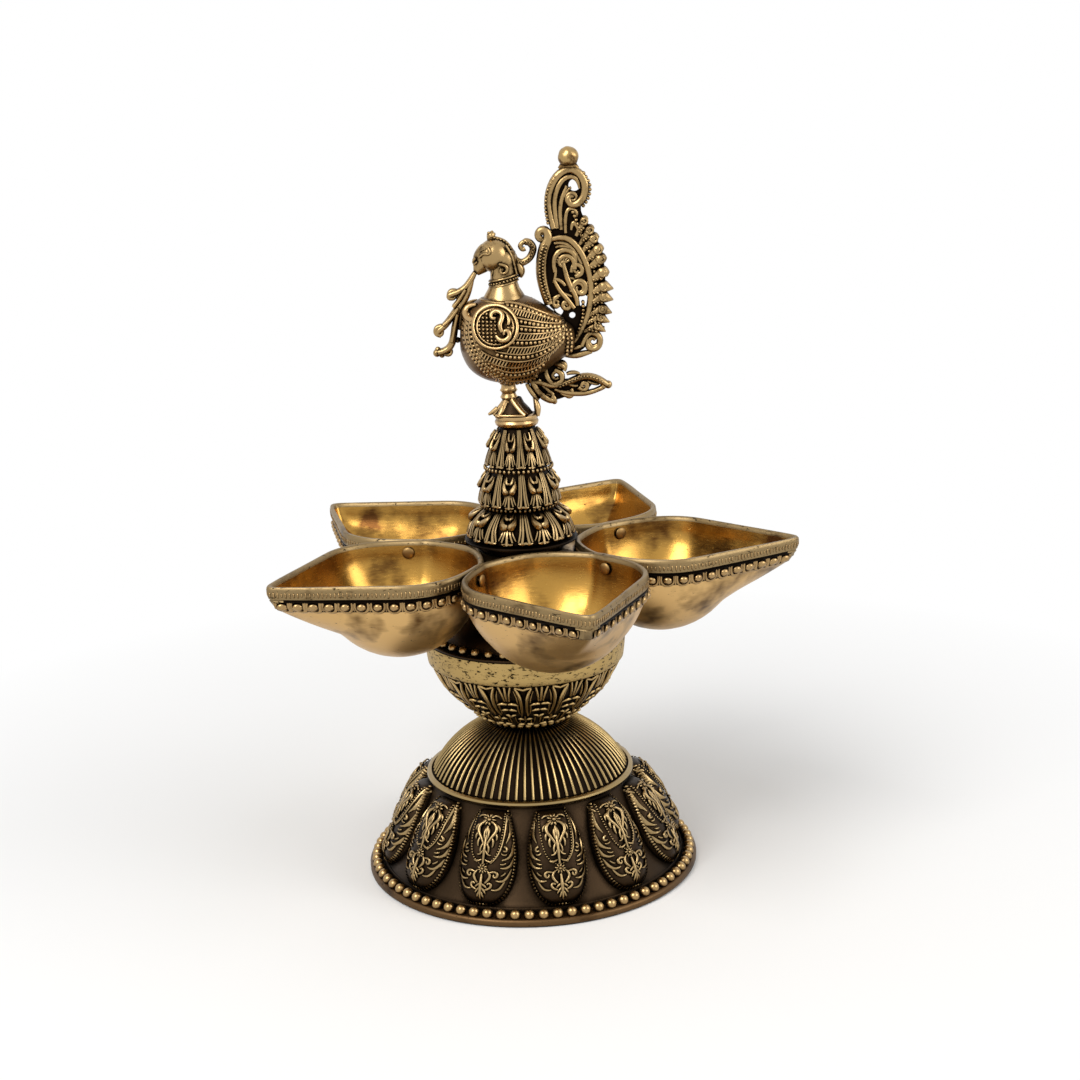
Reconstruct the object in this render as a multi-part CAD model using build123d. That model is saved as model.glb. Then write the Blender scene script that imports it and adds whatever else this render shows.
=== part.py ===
"""Aarti lamp in cast brass: a bell foot, a lotus bowl, five spouted oil cups, a leaf column and a bird finial.

Frame: millimetres, +Z up, origin on the lamp's axis at the surface it stands on.
The front of the lamp faces -Y and the bird looks towards -X.
"""
from build123d import *
import math
import os

os.makedirs("parts", exist_ok=True)

# ---------------------------------------------------------------- driving sizes
SEAT_GAP = 0.3            # between curved pieces that rest against each other
RUN_GAP = 0.05            # radial clearance of a threaded shank in its hole
HOLE_GAP = 0.2            # radial clearance of a plain through hole

# foot: flared skirt with raised arched panels
FOOT_R = 50.5
LIP_H = 2.2
FOOT_WALL = 2.6
FOOT_REST_W = 4.0         # width of the ring that touches the table
BEAD_R = 1.55
FOOT_BEADS = 66
FOOT_TOP_Z = 29.6
FOOT_TOP_R = 30.6
FOOT_BORE_R = FOOT_TOP_R - 5.0
FOOT_RING_R = 46.0
SKIRT_MID = (38.6, 13.6)  # radius and height half-way up the ground between the panels
PANELS = 12
PANEL_TURN = 10.0         # first panel, degrees from the front towards the right
PANEL_W = 17.4
PANEL_FLOOR_Z = 3.6
PANEL_PEAK_Z = 31.0
PANEL_FACE = [(47.2, 3.6), (44.2, 14.6), (38.3, 25.2), (31.6, 31.0)]

# ribbed dome between the skirt and the bowl
NECK_R = 10.6             # foot of the bowl, on the dome's flat top
NECK_Z = 45.6
DOME_FACE = [(FOOT_TOP_R - 1.4, FOOT_TOP_Z), (FOOT_TOP_R - 7.2, FOOT_TOP_Z + 8.4), (NECK_R + 1.0, NECK_Z)]
DOME_WALL = 2.6
RIBS = 72
RIB_H = 0.75
RIB_LEVELS = [0.08, 0.6]  # shares of the dome's arc where the ribs stand full; above, they fade towards the neck
RIB_TEETH = [(0.0, 0.0), (0.5, 1.0)]

# lotus bowl and its cover
BOWL_FACE = [(NECK_R, NECK_Z), (22.4, 55.4), (28.8, 65.8)]
BAND_TOP_R = 30.4
BOWL_TOP_Z = 72.8
BOWL_WALL = 2.2
BOWL_LEAVES = 16
BOWL_LEAF_H = 1.0
BOWL_LEVELS = [0.12, 0.5, 0.96]
BOWL_TEETH = [(-0.12, 1.0), (0.12, 1.0), (0.24, 0.0), (0.76, 0.0)]
COVER_BEADS = 40
COVER_SIDES = 20          # two beads stand on each flat
COVER_BEAD_R = 1.3
COVER_BEAD_RING = 27.9
COVER_MID = (20.0, 79.6)
COVER_NECK_R = 13.5
COVER_TOP_Z = 84.5
COVER_WALL = 2.4

# oil cups: a half sphere with a leaf-shaped brim drawn out into a spout
CUPS = 5
CUP_TURN = 12.0           # first cup, degrees from the front towards the right
CUP_CENTRE_R = 41.0
CUP_SPHERE_R = 23.8
CUP_SIDES = 20            # flats round the half ball
CUP_SPHERE_Z = 98.0
CUP_RIM_Z = 101.8
CUP_WALL = 2.0
CUP_HEEL_R = 16.2         # radius where the brim comes nearest the lamp's axis
CUP_TIP_R = 82.3
CUP_TIP_H = 4.6           # height of the upright edge at the spout's tip
CUP_KEEL_R = 63.6         # where the spout's keel meets the half sphere
CUP_KEEL_Z = 85.4
CUP_KEEL_SHARE = 0.74     # size of the brim form where its keel meets the half sphere
CUP_HALF_W = 25.8
CUP_LOBE_R = 20.0
CUP_FLANK_TURN = 48       # where the round lobe gives way to the spout's flank, degrees from the spout
CUP_RIM_DIP = 1.0         # how far the brim dips on the spout's flanks
CUP_DIP_W = 20.0
CUP_DIP_AT = (61.0, 17.5)
CUP_SIDE_GAP = 0.5        # between neighbouring brims

# hub that carries the cups
HUB_ARM_R = 25.0
HUB_TOP_Z = 99.4
HUB_WAIST_R = 13.0

# rivets between neighbouring cups
RIVET_R = 1.1
RIVET_HEAD_R = 2.0
RIVET_HEAD_H = 0.9
RIVET_AT_R = 33.8
RIVET_Z = 98.4
RIVET_SIDES = 8

# leaf column: three bells of hanging leaves
COLUMN_PLATE_R = 16.8
COLUMN_PLATE_T = 1.0
COLUMN_LEAVES = 9
COLUMN_TURN = 4.5
TIER_LOW = [(16.0, 104.6), (13.9, 109.6), (10.2, 112.6)]
TIER_MID = [(12.2, 113.6), (11.2, 119.2), (9.2, 123.6)]
TIER_TOP = [(10.0, 124.6), (8.4, 130.6), (6.2, 136.3)]
LEAF_H = 1.0
LEAF_TEETH = [(-0.14, 1.0), (0.14, 1.0), (0.24, 0.0), (0.5, 0.9), (0.76, 0.0)]
RING_R = 0.75

# centre rod, nut and washer
ROD_R = 3.0
ROD_LOW_Z = 33.5
ROD_HIGH_Z = 112.0
NUT_FLATS = 10.0
NUT_H = 5.0
WASHER_R = 8.0
WASHER_T = 1.2

# bird finial and the stud that it is screwed on
STUD_R = 2.0
STUD_LOW_Z = 127.0
STUD_HIGH_Z = 141.0
COLLAR_R = 6.5
COLLAR_TOP_Z = 139.6
LEG_X = -2.0
LEG_R = 2.1
LEG_LOW_Z = COLLAR_TOP_Z + 4.0
BODY_RISE = 22.4          # from the collar's top to the middle of the body
BODY_Z = COLLAR_TOP_Z + BODY_RISE    # the bird's outlines are drawn from this height
BODY_FACE = [(-15.4, 4.6), (-12.6, 9.2), (-8.0, 12.2), (-2.0, 13.2), (4.0, 12.2), (9.0, 9.6), (13.4, 6.4), (17.4, 3.8)]
BODY_SIDES = 14
BODY_PITCH = 3.0          # the breast is carried this many degrees high
WING_LIFT = 0.9
MEDAL_X, MEDAL_Z, MEDAL_R = -5.1, 4.6, 6.9
MEDAL_LIFT = 1.5
HEAD_X, HEAD_Z, HEAD_R = -4.6, BODY_Z + 23.8, 4.8
NECK_X = -2.2
NECK_LOW_Z = BODY_Z + 9.0
TAIL_T = 4.4
TAIL_WEB_T = 1.8
TAIL_LOBES = 11
TAIL_LOBE_R = 2.1
FINIAL_X, FINIAL_Z, FINIAL_R = 17.4, BODY_Z + 50.9, 3.1
SCROLL_T = 3.6
DISC_SIDES = 8           # flats of the small round bosses
STRIP_STEPS = 3           # straight lengths in one curved stroke
SKIRT_SIDES = 33          # two beads stand on each flat
HOLLOW_SIDES = 20
WASHER_SIDES = 12
CREEPER_T = 2.4


# ---------------------------------------------------------------- helpers
def shifted(points, distance):
    """The same run of (radius, height) points moved along their own normals, outwards when positive."""
    moved = []
    for i, (r, z) in enumerate(points):
        before = points[max(i - 1, 0)]
        after = points[min(i + 1, len(points) - 1)]
        dr, dz = after[0] - before[0], after[1] - before[1]
        size = math.hypot(dr, dz)
        side = 1 if dz > 0 else -1
        moved.append((r + side * distance * dz / size, z - side * distance * dr / size))
    return moved


def along(points, start=0.0, end=1.0, steps=3):
    """Evenly spaced points on the arc through three points, between two shares of its length."""
    arc = ThreePointArc(*points)
    return [tuple(arc @ (start + (end - start) * i / steps))[:2] for i in range(steps + 1)]


def polygon(corners):
    return make_face(Polyline(*corners, close=True))


def ring(radius, z, sides, x=0.0):
    """The corners of a level regular polygon."""
    turns = [2 * math.pi * i / sides for i in range(sides)]
    return [(x + radius * math.cos(t), radius * math.sin(t), z) for t in turns]


def toothed(radius, z, depth, count, teeth):
    """A level ring whose corners repeat count times; teeth lists (share of one pitch, share of the depth)."""
    corners = []
    for i in range(count):
        for share, rise in teeth:
            turn = 2 * math.pi * (i + share) / count
            reach = radius + depth * rise
            corners.append((reach * math.cos(turn), reach * math.sin(turn), z))
    return corners


def stack(rings, closed=False):
    """A solid with flat faces between neighbouring rings of corners; closed joins the last ring to the first."""
    pairs = list(zip(rings, rings[1:] + rings[:1])) if closed else list(zip(rings, rings[1:]))
    cuts = [] if closed else [rings[0], rings[-1]]
    for low, high in pairs:
        for i in range(len(low)):
            j = (i + 1) % len(low)
            a, b, c, d = [Vector(*p) for p in (low[i], low[j], high[j], high[i])]
            out = (b - a).cross(d - a).normalized().dot((c - a).normalized())
            cuts += [(a, b, c, d)] if abs(out) < 1e-6 else [(a, b, c), (a, c, d)]
    faces = [Face(Wire.make_polygon([Vector(*p) for p in corners])) for corners in cuts]
    return Solid(Shell(faces))


def faceted(section, sides):
    """A solid turned form with even flats, from (radius, height) corners up its outside."""
    return stack([ring(r, z, sides) for r, z in section])


def turned(section, sides):
    """A turned form with a hole through it, from (radius, height) corners all round its half-section."""
    return stack([ring(r, z, sides) for r, z in section], closed=True)


def ball(radius, sides, low=-84, high=84, steps=6):
    """A faceted ball about the origin, or the part of it between two latitudes in degrees."""
    turns = [math.radians(low + (high - low) * i / steps) for i in range(steps + 1)]
    return faceted([(radius * math.cos(t), radius * math.sin(t)) for t in turns], sides)


def around(shape, count, turn=0.0):
    """Copies of a shape made on +X, spaced evenly about the axis; turn 0 is the front, growing to the right."""
    return [Rot(0, 0, turn - 90 + 360 * i / count) * shape for i in range(count)]


def bead(radius, ring, z):
    """One cast bead, cut to a four-sided point, standing on a ring."""
    low = [(ring + radius * x, radius * y, z) for x, y in ((1, 0), (0, 1), (-1, 0), (0, -1))]
    top = (ring, 0, z + 1.3 * radius)
    sides = [(low[i], low[(i + 1) % 4], top) for i in range(4)]
    return Solid(Shell([Face(Wire.make_polygon([Vector(*p) for p in corners])) for corners in [low[::-1]] + sides]))


def cylinder(radius, low, high, x=0.0):
    return Pos(x, 0, low) * Cylinder(radius, high - low, align=(Align.CENTER, Align.CENTER, Align.MIN))


def strip(a, middle, b, width):
    """A flat strip of even width along the arc through three points of the profile plane."""
    arc = ThreePointArc(a, middle, b)
    far, near = [], []
    for i in range(STRIP_STEPS + 1):
        at = arc @ (i / STRIP_STEPS)
        side = (arc % (i / STRIP_STEPS)).rotate(Axis.Z, 90) * (width / 2)
        far.append((at.X + side.X, at.Y + side.Y))
        near.append((at.X - side.X, at.Y - side.Y))
    return polygon(far + near[::-1])


def disc(x, z, radius):
    return Pos(x, z) * RegularPolygon(radius, DISC_SIDES)


def plate(shape, thickness, height=BODY_Z):
    """An outline drawn from a height, given its thickness half on each side of the lamp's middle plane."""
    return Pos(0, 0, height) * extrude(Plane.XZ * shape, thickness / 2, both=True)


# ---------------------------------------------------------------- foot
def foot_skirt():
    rest_r = FOOT_R - FOOT_REST_W
    lip = [(rest_r, 0), (FOOT_R, 0), (FOOT_R, LIP_H), (FOOT_RING_R + 0.4, LIP_H)]
    step = [(FOOT_RING_R, LIP_H + 1.8), (FOOT_RING_R - 1.2, LIP_H + 1.8), SKIRT_MID]
    cord = [(FOOT_TOP_R, FOOT_TOP_Z - 1.2), (FOOT_TOP_R + 1.0, FOOT_TOP_Z), (FOOT_TOP_R - 0.4, FOOT_TOP_Z + 1.1)]
    seat = [(FOOT_TOP_R - 1.1, FOOT_TOP_Z), (FOOT_BORE_R, FOOT_TOP_Z)]
    hollow = [(SKIRT_MID[0] - FOOT_WALL, SKIRT_MID[1] - 0.4)]
    skirt = turned(lip + step + cord + seat + hollow, SKIRT_SIDES)
    skirt = skirt + around(panel(), PANELS, PANEL_TURN)
    return skirt + around(bead(BEAD_R, FOOT_R - BEAD_R - 0.4, LIP_H - 0.2), FOOT_BEADS, 90 + 180 / FOOT_BEADS)


def panel():
    """One arched panel leaning on the skirt, its back sunk into the wall."""
    back = [(FOOT_TOP_R - 1.4, 28.0), (SKIRT_MID[0] - 1.4, SKIRT_MID[1]), (SKIRT_MID[0] + 5.2, PANEL_FLOOR_Z)]
    side = extrude(Plane.XZ * polygon(PANEL_FACE + back), PANEL_W / 2, both=True)
    half = [(0.7, 0.0), (0.97, 0.16), (0.98, 0.58), (0.7, 0.88), (0.22, 1.0)]
    tall = PANEL_PEAK_Z - PANEL_FLOOR_Z
    right = [(y * PANEL_W / 2, PANEL_FLOOR_Z + z * tall) for y, z in half]
    arch = polygon(right + [(-y, z) for y, z in right[::-1]])
    return side & extrude(Plane.YZ * arch, 1.5 * FOOT_R)


# ---------------------------------------------------------------- ribbed dome
def ribbed_dome():
    face = along(DOME_FACE, 0, 1, 3)
    rings = [toothed(*face[0], 0, RIBS, RIB_TEETH)]
    for share in RIB_LEVELS:
        r, z = along(DOME_FACE, share, 1, 1)[0]
        rings.append(toothed(r, z, RIB_H * r / face[0][0], RIBS, RIB_TEETH))
    rings.append(toothed(*face[-1], 0, RIBS, RIB_TEETH))
    under = shifted(face, -DOME_WALL)
    low = (face[0][0] - DOME_WALL, face[0][1])
    hollow = [(low[0] + 0.5, low[1] - 1), low] + under[1:-1] + [(face[-1][0], face[-1][1] - DOME_WALL)]
    return stack(rings) - [faceted(hollow, HOLLOW_SIDES), cylinder(ROD_R + HOLE_GAP, 30, 50)]


# ---------------------------------------------------------------- bowl and cover
def lotus_bowl():
    low_r, low_z = BOWL_FACE[0]
    rings = [toothed(low_r, low_z, 0, BOWL_LEAVES, BOWL_TEETH)]
    for share in BOWL_LEVELS:
        r, z = along(BOWL_FACE, share, 1, 1)[0]
        rings.append(toothed(r, z, BOWL_LEAF_H, BOWL_LEAVES, BOWL_TEETH))
    rim_r, rim_z = BOWL_FACE[-1]
    rings.append(toothed(rim_r + 0.5, rim_z + 0.3, 0, BOWL_LEAVES, BOWL_TEETH))
    rings.append(toothed(BAND_TOP_R, BOWL_TOP_Z, 0, BOWL_LEAVES, BOWL_TEETH))
    inside = shifted(along(BOWL_FACE, 0.2, 1), -BOWL_WALL)
    top_r = BAND_TOP_R - BOWL_WALL
    hollow = [(inside[0][0] - 1.5, low_z + BOWL_WALL)] + inside[1:] + [(top_r, BOWL_TOP_Z), (top_r, BOWL_TOP_Z + 1)]
    return stack(rings) - [faceted(hollow, HOLLOW_SIDES), cylinder(ROD_R + HOLE_GAP, low_z - 1, low_z + 5)]


def bowl_cover():
    bore = ROD_R + HOLE_GAP
    edge_r = BAND_TOP_R - 0.4
    step_z = BOWL_TOP_Z + 0.7
    step_r = COVER_BEAD_RING - COVER_BEAD_R - 0.4
    face = [(step_r, step_z), COVER_MID, (COVER_NECK_R, COVER_TOP_Z)]
    under = [(r - 1.0, z - COVER_WALL) for r, z in face[1:]]
    edge = [(step_r - COVER_WALL, BOWL_TOP_Z), (edge_r, BOWL_TOP_Z), (edge_r, step_z)]
    shell = turned(edge + face + [(bore, COVER_TOP_Z), (bore, under[1][1])] + under[::-1], COVER_SIDES)
    return shell + around(bead(COVER_BEAD_R, COVER_BEAD_RING, BOWL_TOP_Z + 0.5), COVER_BEADS, 180 / COVER_BEADS)


# ---------------------------------------------------------------- oil cups
def leaf_outline(z, size, tip_r):
    """The brim's leaf shape at one height: heel arc, straight touch line, lobe arc and flank, mirrored.

    size shrinks the round part about the cup's centre; tip_r is where the spout ends.
    """
    half_turn = math.pi / CUPS
    c, s = math.cos(half_turn), math.sin(half_turn)
    heel_r = (CUP_HEEL_R * s - CUP_SIDE_GAP / 2) / (c * c - s * (1 - s))
    heel = (CUP_HEEL_R + heel_r, 0.0)
    heel_end = (heel[0] - s * heel_r, c * heel_r)
    rise = CUP_HALF_W - CUP_LOBE_R * (1 - c) - heel_end[1]
    lobe = (heel_end[0] + rise * c / s + CUP_LOBE_R * s, CUP_HALF_W - CUP_LOBE_R)

    def arc(centre, radius, start, end, steps):
        turns = [math.radians(start + (end - start) * i / steps) for i in range(steps + 1)]
        return [(centre[0] + radius * math.cos(t), centre[1] + radius * math.sin(t)) for t in turns]

    touch = 90 + 180 / CUPS
    side = arc(heel, heel_r, 165, touch, 2) + arc(lobe, CUP_LOBE_R, touch, CUP_FLANK_TURN, 4)
    side = [(CUP_CENTRE_R + (x - CUP_CENTRE_R) * size, y * size) for x, y in side]
    other = [(x, -y) for x, y in side[::-1]]
    return [(x, y, z) for x, y in side + [(tip_r, 0.3), (tip_r, -0.3)] + other]


def cup_form(wall=0.0, top=CUP_RIM_Z):
    """The cup's outer form, or with a wall its hollow: a half ball joined to the drawn-out brim."""
    bowl = Pos(CUP_CENTRE_R, 0, CUP_SPHERE_Z) * ball(CUP_SPHERE_R - wall, CUP_SIDES, high=0, steps=4)
    drawn = 1 - wall / CUP_HALF_W
    keel = leaf_outline(CUP_KEEL_Z + wall, CUP_KEEL_SHARE * drawn, CUP_KEEL_R - 1.1 * wall)
    edge = leaf_outline(CUP_RIM_Z - CUP_TIP_H + 0.6 * wall, 0.99 * drawn, CUP_TIP_R - 0.4 - 1.6 * wall)
    brim = leaf_outline(top, 0.99 * drawn if wall else drawn, CUP_TIP_R - 0.4 - 1.6 * wall if wall else CUP_TIP_R)
    return bowl + stack([keel, edge, brim])


def rivet_hole():
    pin = Rot(90, 0, 0) * faceted([(RIVET_R + HOLE_GAP, -6), (RIVET_R + HOLE_GAP, 6)], RIVET_SIDES)
    return Rot(0, 0, 180 / CUPS) * Pos(RIVET_AT_R, 0, RIVET_Z) * pin


def rim_dip():
    """The shallow hollow filed into the brim on one of the spout's flanks."""
    half = CUP_DIP_W / 2
    low = [(-half, 0), (-half / 2, -0.75 * CUP_RIM_DIP), (0, -CUP_RIM_DIP), (half / 2, -0.75 * CUP_RIM_DIP), (half, 0)]
    cut = extrude(Plane.XZ * polygon(low + [(half, 2), (-half, 2)]), 6, both=True)
    return Pos(CUP_DIP_AT[0], CUP_DIP_AT[1], CUP_RIM_Z) * Rot(0, 0, -38) * cut


def oil_cup():
    cup = cup_form() - cup_form(CUP_WALL, CUP_RIM_Z + 4.0)
    cuts = [rivet_hole(), rim_dip()]
    return cup - cuts - [mirror(shape, Plane.XZ) for shape in cuts]


def cup_rivets():
    """Five headed pins, one through each pair of neighbouring cup walls."""
    reach = CUP_SIDE_GAP / 2 + CUP_WALL + 2 * SEAT_GAP
    half = [(RIVET_R, 0), (RIVET_R, reach), (RIVET_HEAD_R, reach), (RIVET_HEAD_R, reach + RIVET_HEAD_H)]
    rivet = faceted([(r, -z) for r, z in half[:0:-1]] + half[1:], RIVET_SIDES)
    rivet = Pos(RIVET_AT_R, 0, RIVET_Z) * Rot(90, 0, 0) * rivet
    return Compound(around(rivet, CUPS, CUP_TURN + 180 / CUPS))


def cup_hub():
    bore = ROD_R + HOLE_GAP
    arm_low = COVER_TOP_Z + 5.0
    arm_high = HUB_TOP_Z - 2.0
    section = [(bore, COVER_TOP_Z), (HUB_WAIST_R, COVER_TOP_Z), (HUB_ARM_R, arm_low), (HUB_ARM_R, arm_high)]
    section += [(HUB_WAIST_R, HUB_TOP_Z), (bore, HUB_TOP_Z)]
    seat = cup_form(-SEAT_GAP, CUP_RIM_Z + 2.0)
    return turned(section, HOLLOW_SIDES) - around(seat, CUPS, CUP_TURN)


# ---------------------------------------------------------------- leaf column
def leaf_column():
    plate_low = CUP_RIM_Z + SEAT_GAP
    plate_high = plate_low + COLUMN_PLATE_T
    core_r = TIER_LOW[0][0] - 3.0
    plug_r = HUB_WAIST_R - 0.6
    top_z = TIER_TOP[-1][1]
    foot = [(plug_r, HUB_TOP_Z), (plug_r, plate_low), (COLUMN_PLATE_R, plate_low), (COLUMN_PLATE_R, plate_high)]
    levels = [(core_r, plate_high, 0)]
    for tier in (TIER_LOW, TIER_MID, TIER_TOP):
        depth = LEAF_H * tier[0][0] / TIER_MID[0][0]
        bell = along(tier, steps=2)
        levels += [(r - depth, z, depth) for r, z in bell[:2]]
        levels.append((bell[2][0] - depth, bell[2][1], 0))
        if tier is not TIER_TOP:
            edge_r, edge_z = tier[-1]
            levels += [(edge_r + RING_R, edge_z + 0.1, 0), (edge_r + RING_R, edge_z + 2 * RING_R, 0)]
    rings = [toothed(r, z, depth, COLUMN_LEAVES, LEAF_TEETH) for r, z, depth in levels]
    rod_hole = cylinder(ROD_R + RUN_GAP, HUB_TOP_Z - 1, ROD_HIGH_Z + 1.5)
    stud_hole = cylinder(STUD_R + RUN_GAP, STUD_LOW_Z - 1.0, top_z + 1)
    column = Rot(0, 0, COLUMN_TURN - 90) * stack(rings)
    return faceted(foot, HOLLOW_SIDES) + column - [rod_hole, stud_hole]


# ---------------------------------------------------------------- centre rod
def tie_rod():
    return cylinder(ROD_R, ROD_LOW_Z, ROD_HIGH_Z)


def tie_washer():
    top = DOME_FACE[-1][1] - DOME_WALL
    low = top - WASHER_T
    bore = ROD_R + HOLE_GAP
    return turned([(bore, low), (WASHER_R, low), (WASHER_R, top), (bore, top)], WASHER_SIDES)


def tie_nut():
    top = DOME_FACE[-1][1] - DOME_WALL - WASHER_T
    hexagon = RegularPolygon(NUT_FLATS / 2, 6, major_radius=False)
    nut = Pos(0, 0, top - NUT_H) * extrude(hexagon, NUT_H)
    return nut - cylinder(ROD_R + RUN_GAP, top - NUT_H - 1, top + 1)


# ---------------------------------------------------------------- bird finial
def bird_stud():
    return cylinder(STUD_R, STUD_LOW_Z, STUD_HIGH_Z)


def perch_collar():
    base_z = TIER_TOP[-1][1]
    section = [(COLLAR_R - 0.4, base_z), (COLLAR_R, base_z + 0.6), (COLLAR_R, COLLAR_TOP_Z - 0.4)]
    section.append((COLLAR_R - 0.8, COLLAR_TOP_Z))
    instep = stack([ring(4.6, COLLAR_TOP_Z - 0.2, DISC_SIDES, -0.8), ring(LEG_R, LEG_LOW_Z, DISC_SIDES, LEG_X)])
    claw = plate(polygon([(-3.6, 3.0), (-8.4, 0.5), (-8.4, 0.0), (-4.0, -1.0)]), 3.0, COLLAR_TOP_Z)
    spur = plate(polygon([(4.0, -0.6), (6.4, -0.6), (6.7, 1.4), (5.0, 6.0), (4.7, 6.0)]), 4.0, COLLAR_TOP_Z)
    bore = cylinder(STUD_R + RUN_GAP, base_z - 1, STUD_HIGH_Z + SEAT_GAP)
    return faceted(section, WASHER_SIDES) + [instep, claw, spur] - bore


def body_form(grow=0.0):
    """The egg-shaped body along the lamp's X axis; grow thickens it evenly for the raised wings."""
    section = [(r + grow, x) for x, r in BODY_FACE]
    section = [(grow + 0.6, section[0][1] - grow)] + section + [(grow + 0.6, section[-1][1] + grow)]
    return Pos(0, 0, BODY_Z) * Rot(0, 90 + BODY_PITCH, 0) * faceted(section, BODY_SIDES)


def bird_leg(body):
    section = [(LEG_R, LEG_LOW_Z)]
    for z in (LEG_LOW_Z + 1.3, LEG_LOW_Z + 3.3):
        section += [(LEG_R, z - 0.7), (LEG_R + 0.55, z), (LEG_R, z + 0.7)]
    return Pos(LEG_X, 0, 0) * faceted(section + [(LEG_R, BODY_Z - 10.0)], DISC_SIDES) - body


def bird_head(body):
    low = NECK_LOW_Z
    section = [(7.4, low), (7.4, low + 2.4), (5.6, low + 4.2), (4.3, low + 6.0), (3.7, low + 8.4), (4.3, low + 12.4)]
    neck = Pos(NECK_X, 0, 0) * faceted(section, BODY_SIDES)
    skull = Pos(HEAD_X, 0, HEAD_Z) * ball(HEAD_R, BODY_SIDES)
    beak = Pos(HEAD_X - 2.8, 0, HEAD_Z + 0.2) * Rot(0, 215, 0) * faceted([(3.0, 0), (2.4, 3.0), (0.7, 6.6)], 8)
    return neck + skull + beak - body


def crest_plume(head):
    knob = Pos(HEAD_X - 0.6, 0, HEAD_Z + 5.4) * ball(1.6, 8, steps=4)
    tie = plate(strip((-4.4, 28.6), (0.4, 26.0), (2.6, 20.2), 2.0), 3.0)
    curl = strip((0.8, 23.6), (5.0, 22.6), (6.0, 26.0), 1.5) + strip((6.0, 26.0), (5.0, 27.4), (3.6, 26.6), 1.5)
    curl += disc(3.5, 26.0, 1.0)
    return tie + [knob, plate(curl, 2.2)] - head


def beak_creeper(body, head):
    strands = strip((-10.6, 19.0), (-13.0, 15.0), (-17.4, 13.4), 1.8) + disc(-17.3, 12.9, 1.2)
    strands += strip((-12.0, 16.6), (-14.6, 9.4), (-20.6, 3.4), 2.0) + disc(-20.8, 2.8, 1.5)
    strands += strip((-16.0, 8.4), (-17.6, 1.0), (-21.6, -3.1), 1.8) + disc(-21.9, -3.2, 1.2)
    return plate(strands, CREEPER_T) - body - head


def wing(side, body, head):
    """One wing: a round shoulder medallion and the feather field behind it, lying on the body."""
    field = polygon([(-11.4, 0.0), (-11.6, 5.0), (-7.0, 9.6), (-1.0, 11.0), (5.0, 9.4), (11.0, 6.2),
                     (15.6, 3.4), (15.8, 0.6), (11.0, -4.2), (4.0, -7.0), (-4.0, -6.4), (-9.6, -3.8)])
    half = Pos(0, side * 15, BODY_Z) * Box(60, 30, 60)
    feathers = body_form(WING_LIFT) & plate(field, 60) & half
    medal = body_form(MEDAL_LIFT) & plate(disc(MEDAL_X, MEDAL_Z, MEDAL_R), 60) & half
    return feathers + medal - body - head


def tail_web():
    """The thin web between the tail's scrolls, with the holes that daylight shows through."""
    web = polygon([(10.4, 8.6), (8.4, 14.0), (7.6, 22.0), (8.6, 30.8), (9.6, 38.4), (13.6, 45.6), (17.4, 48.2),
                   (21.4, 46.4), (22.6, 42.0), (21.8, 38.4), (21.6, 34.2), (25.6, 27.0), (27.2, 18.0),
                   (26.6, 9.0), (24.6, 1.6), (21.0, -3.4), (16.8, -5.8), (13.4, -5.6), (15.4, 1.6)])
    return web - disc(18.7, 43.2, 1.5) - disc(20.6, 10.2, 1.2) - disc(12.8, 7.6, 1.0)


def tail_strokes():
    """The raised strokes of the tail: front scroll, upper loop, main ribs and inner C-scrolls."""
    strokes = [
        ((10.4, 9.4), (8.5, 18.0), (9.8, 27.4), 3.0),
        ((12.6, 30.6), (12.0, 41.0), (16.6, 46.6), 2.6),
        ((16.6, 46.6), (21.4, 44.4), (20.0, 38.6), 2.6),
        ((15.4, 30.6), (14.6, 38.0), (17.0, 42.0), 1.6),
        ((11.6, 29.2), (21.4, 22.0), (21.2, 5.4), 1.7),
        ((21.2, 5.4), (18.4, -1.6), (13.0, -5.4), 1.9),
        ((17.0, 6.4), (15.8, 13.0), (15.6, 18.8), 1.3),
    ]
    shape = disc(9.7, 29.0, 2.5) + disc(18.5, 38.8, 1.9)
    for stroke in strokes:
        shape += strip(*stroke)
    for x, z, r in ((15.2, 22.0, 3.5), (18.7, 18.4, 2.0), (18.7, 13.6, 2.2), (12.8, 10.6, 1.6)):
        shape += disc(x, z, r) - disc(x, z, r - 1.0)
    return shape


def feather_edge():
    """The serrated back edge: a row of lobes along one arc, largest in the middle."""
    ends = (21.4, 33.6), (26.4, 17.0), (23.0, 1.0)
    arc = ThreePointArc(*ends)
    shape = strip(*ends, 3.0)
    for i in range(TAIL_LOBES):
        at = arc @ (i / (TAIL_LOBES - 1))
        size = TAIL_LOBE_R * (0.75 + 0.25 * math.sin(math.pi * i / (TAIL_LOBES - 1)))
        shape += disc(at.X + 0.6, at.Y, size)
    return shape


def tail_fan(body):
    web = plate(tail_web(), TAIL_WEB_T)
    raised = plate(tail_strokes() + feather_edge() + disc(22.4, -1.8, 2.6), TAIL_T)
    eye = plate(disc(22.4, -1.8, 1.3), TAIL_T + 2)
    seat = Pos(FINIAL_X, 0, FINIAL_Z) * ball(FINIAL_R + RUN_GAP, BODY_SIDES)
    return web + raised - [eye, seat] - body


def tail_finial():
    return Pos(FINIAL_X, 0, FINIAL_Z) * ball(FINIAL_R, BODY_SIDES)


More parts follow.
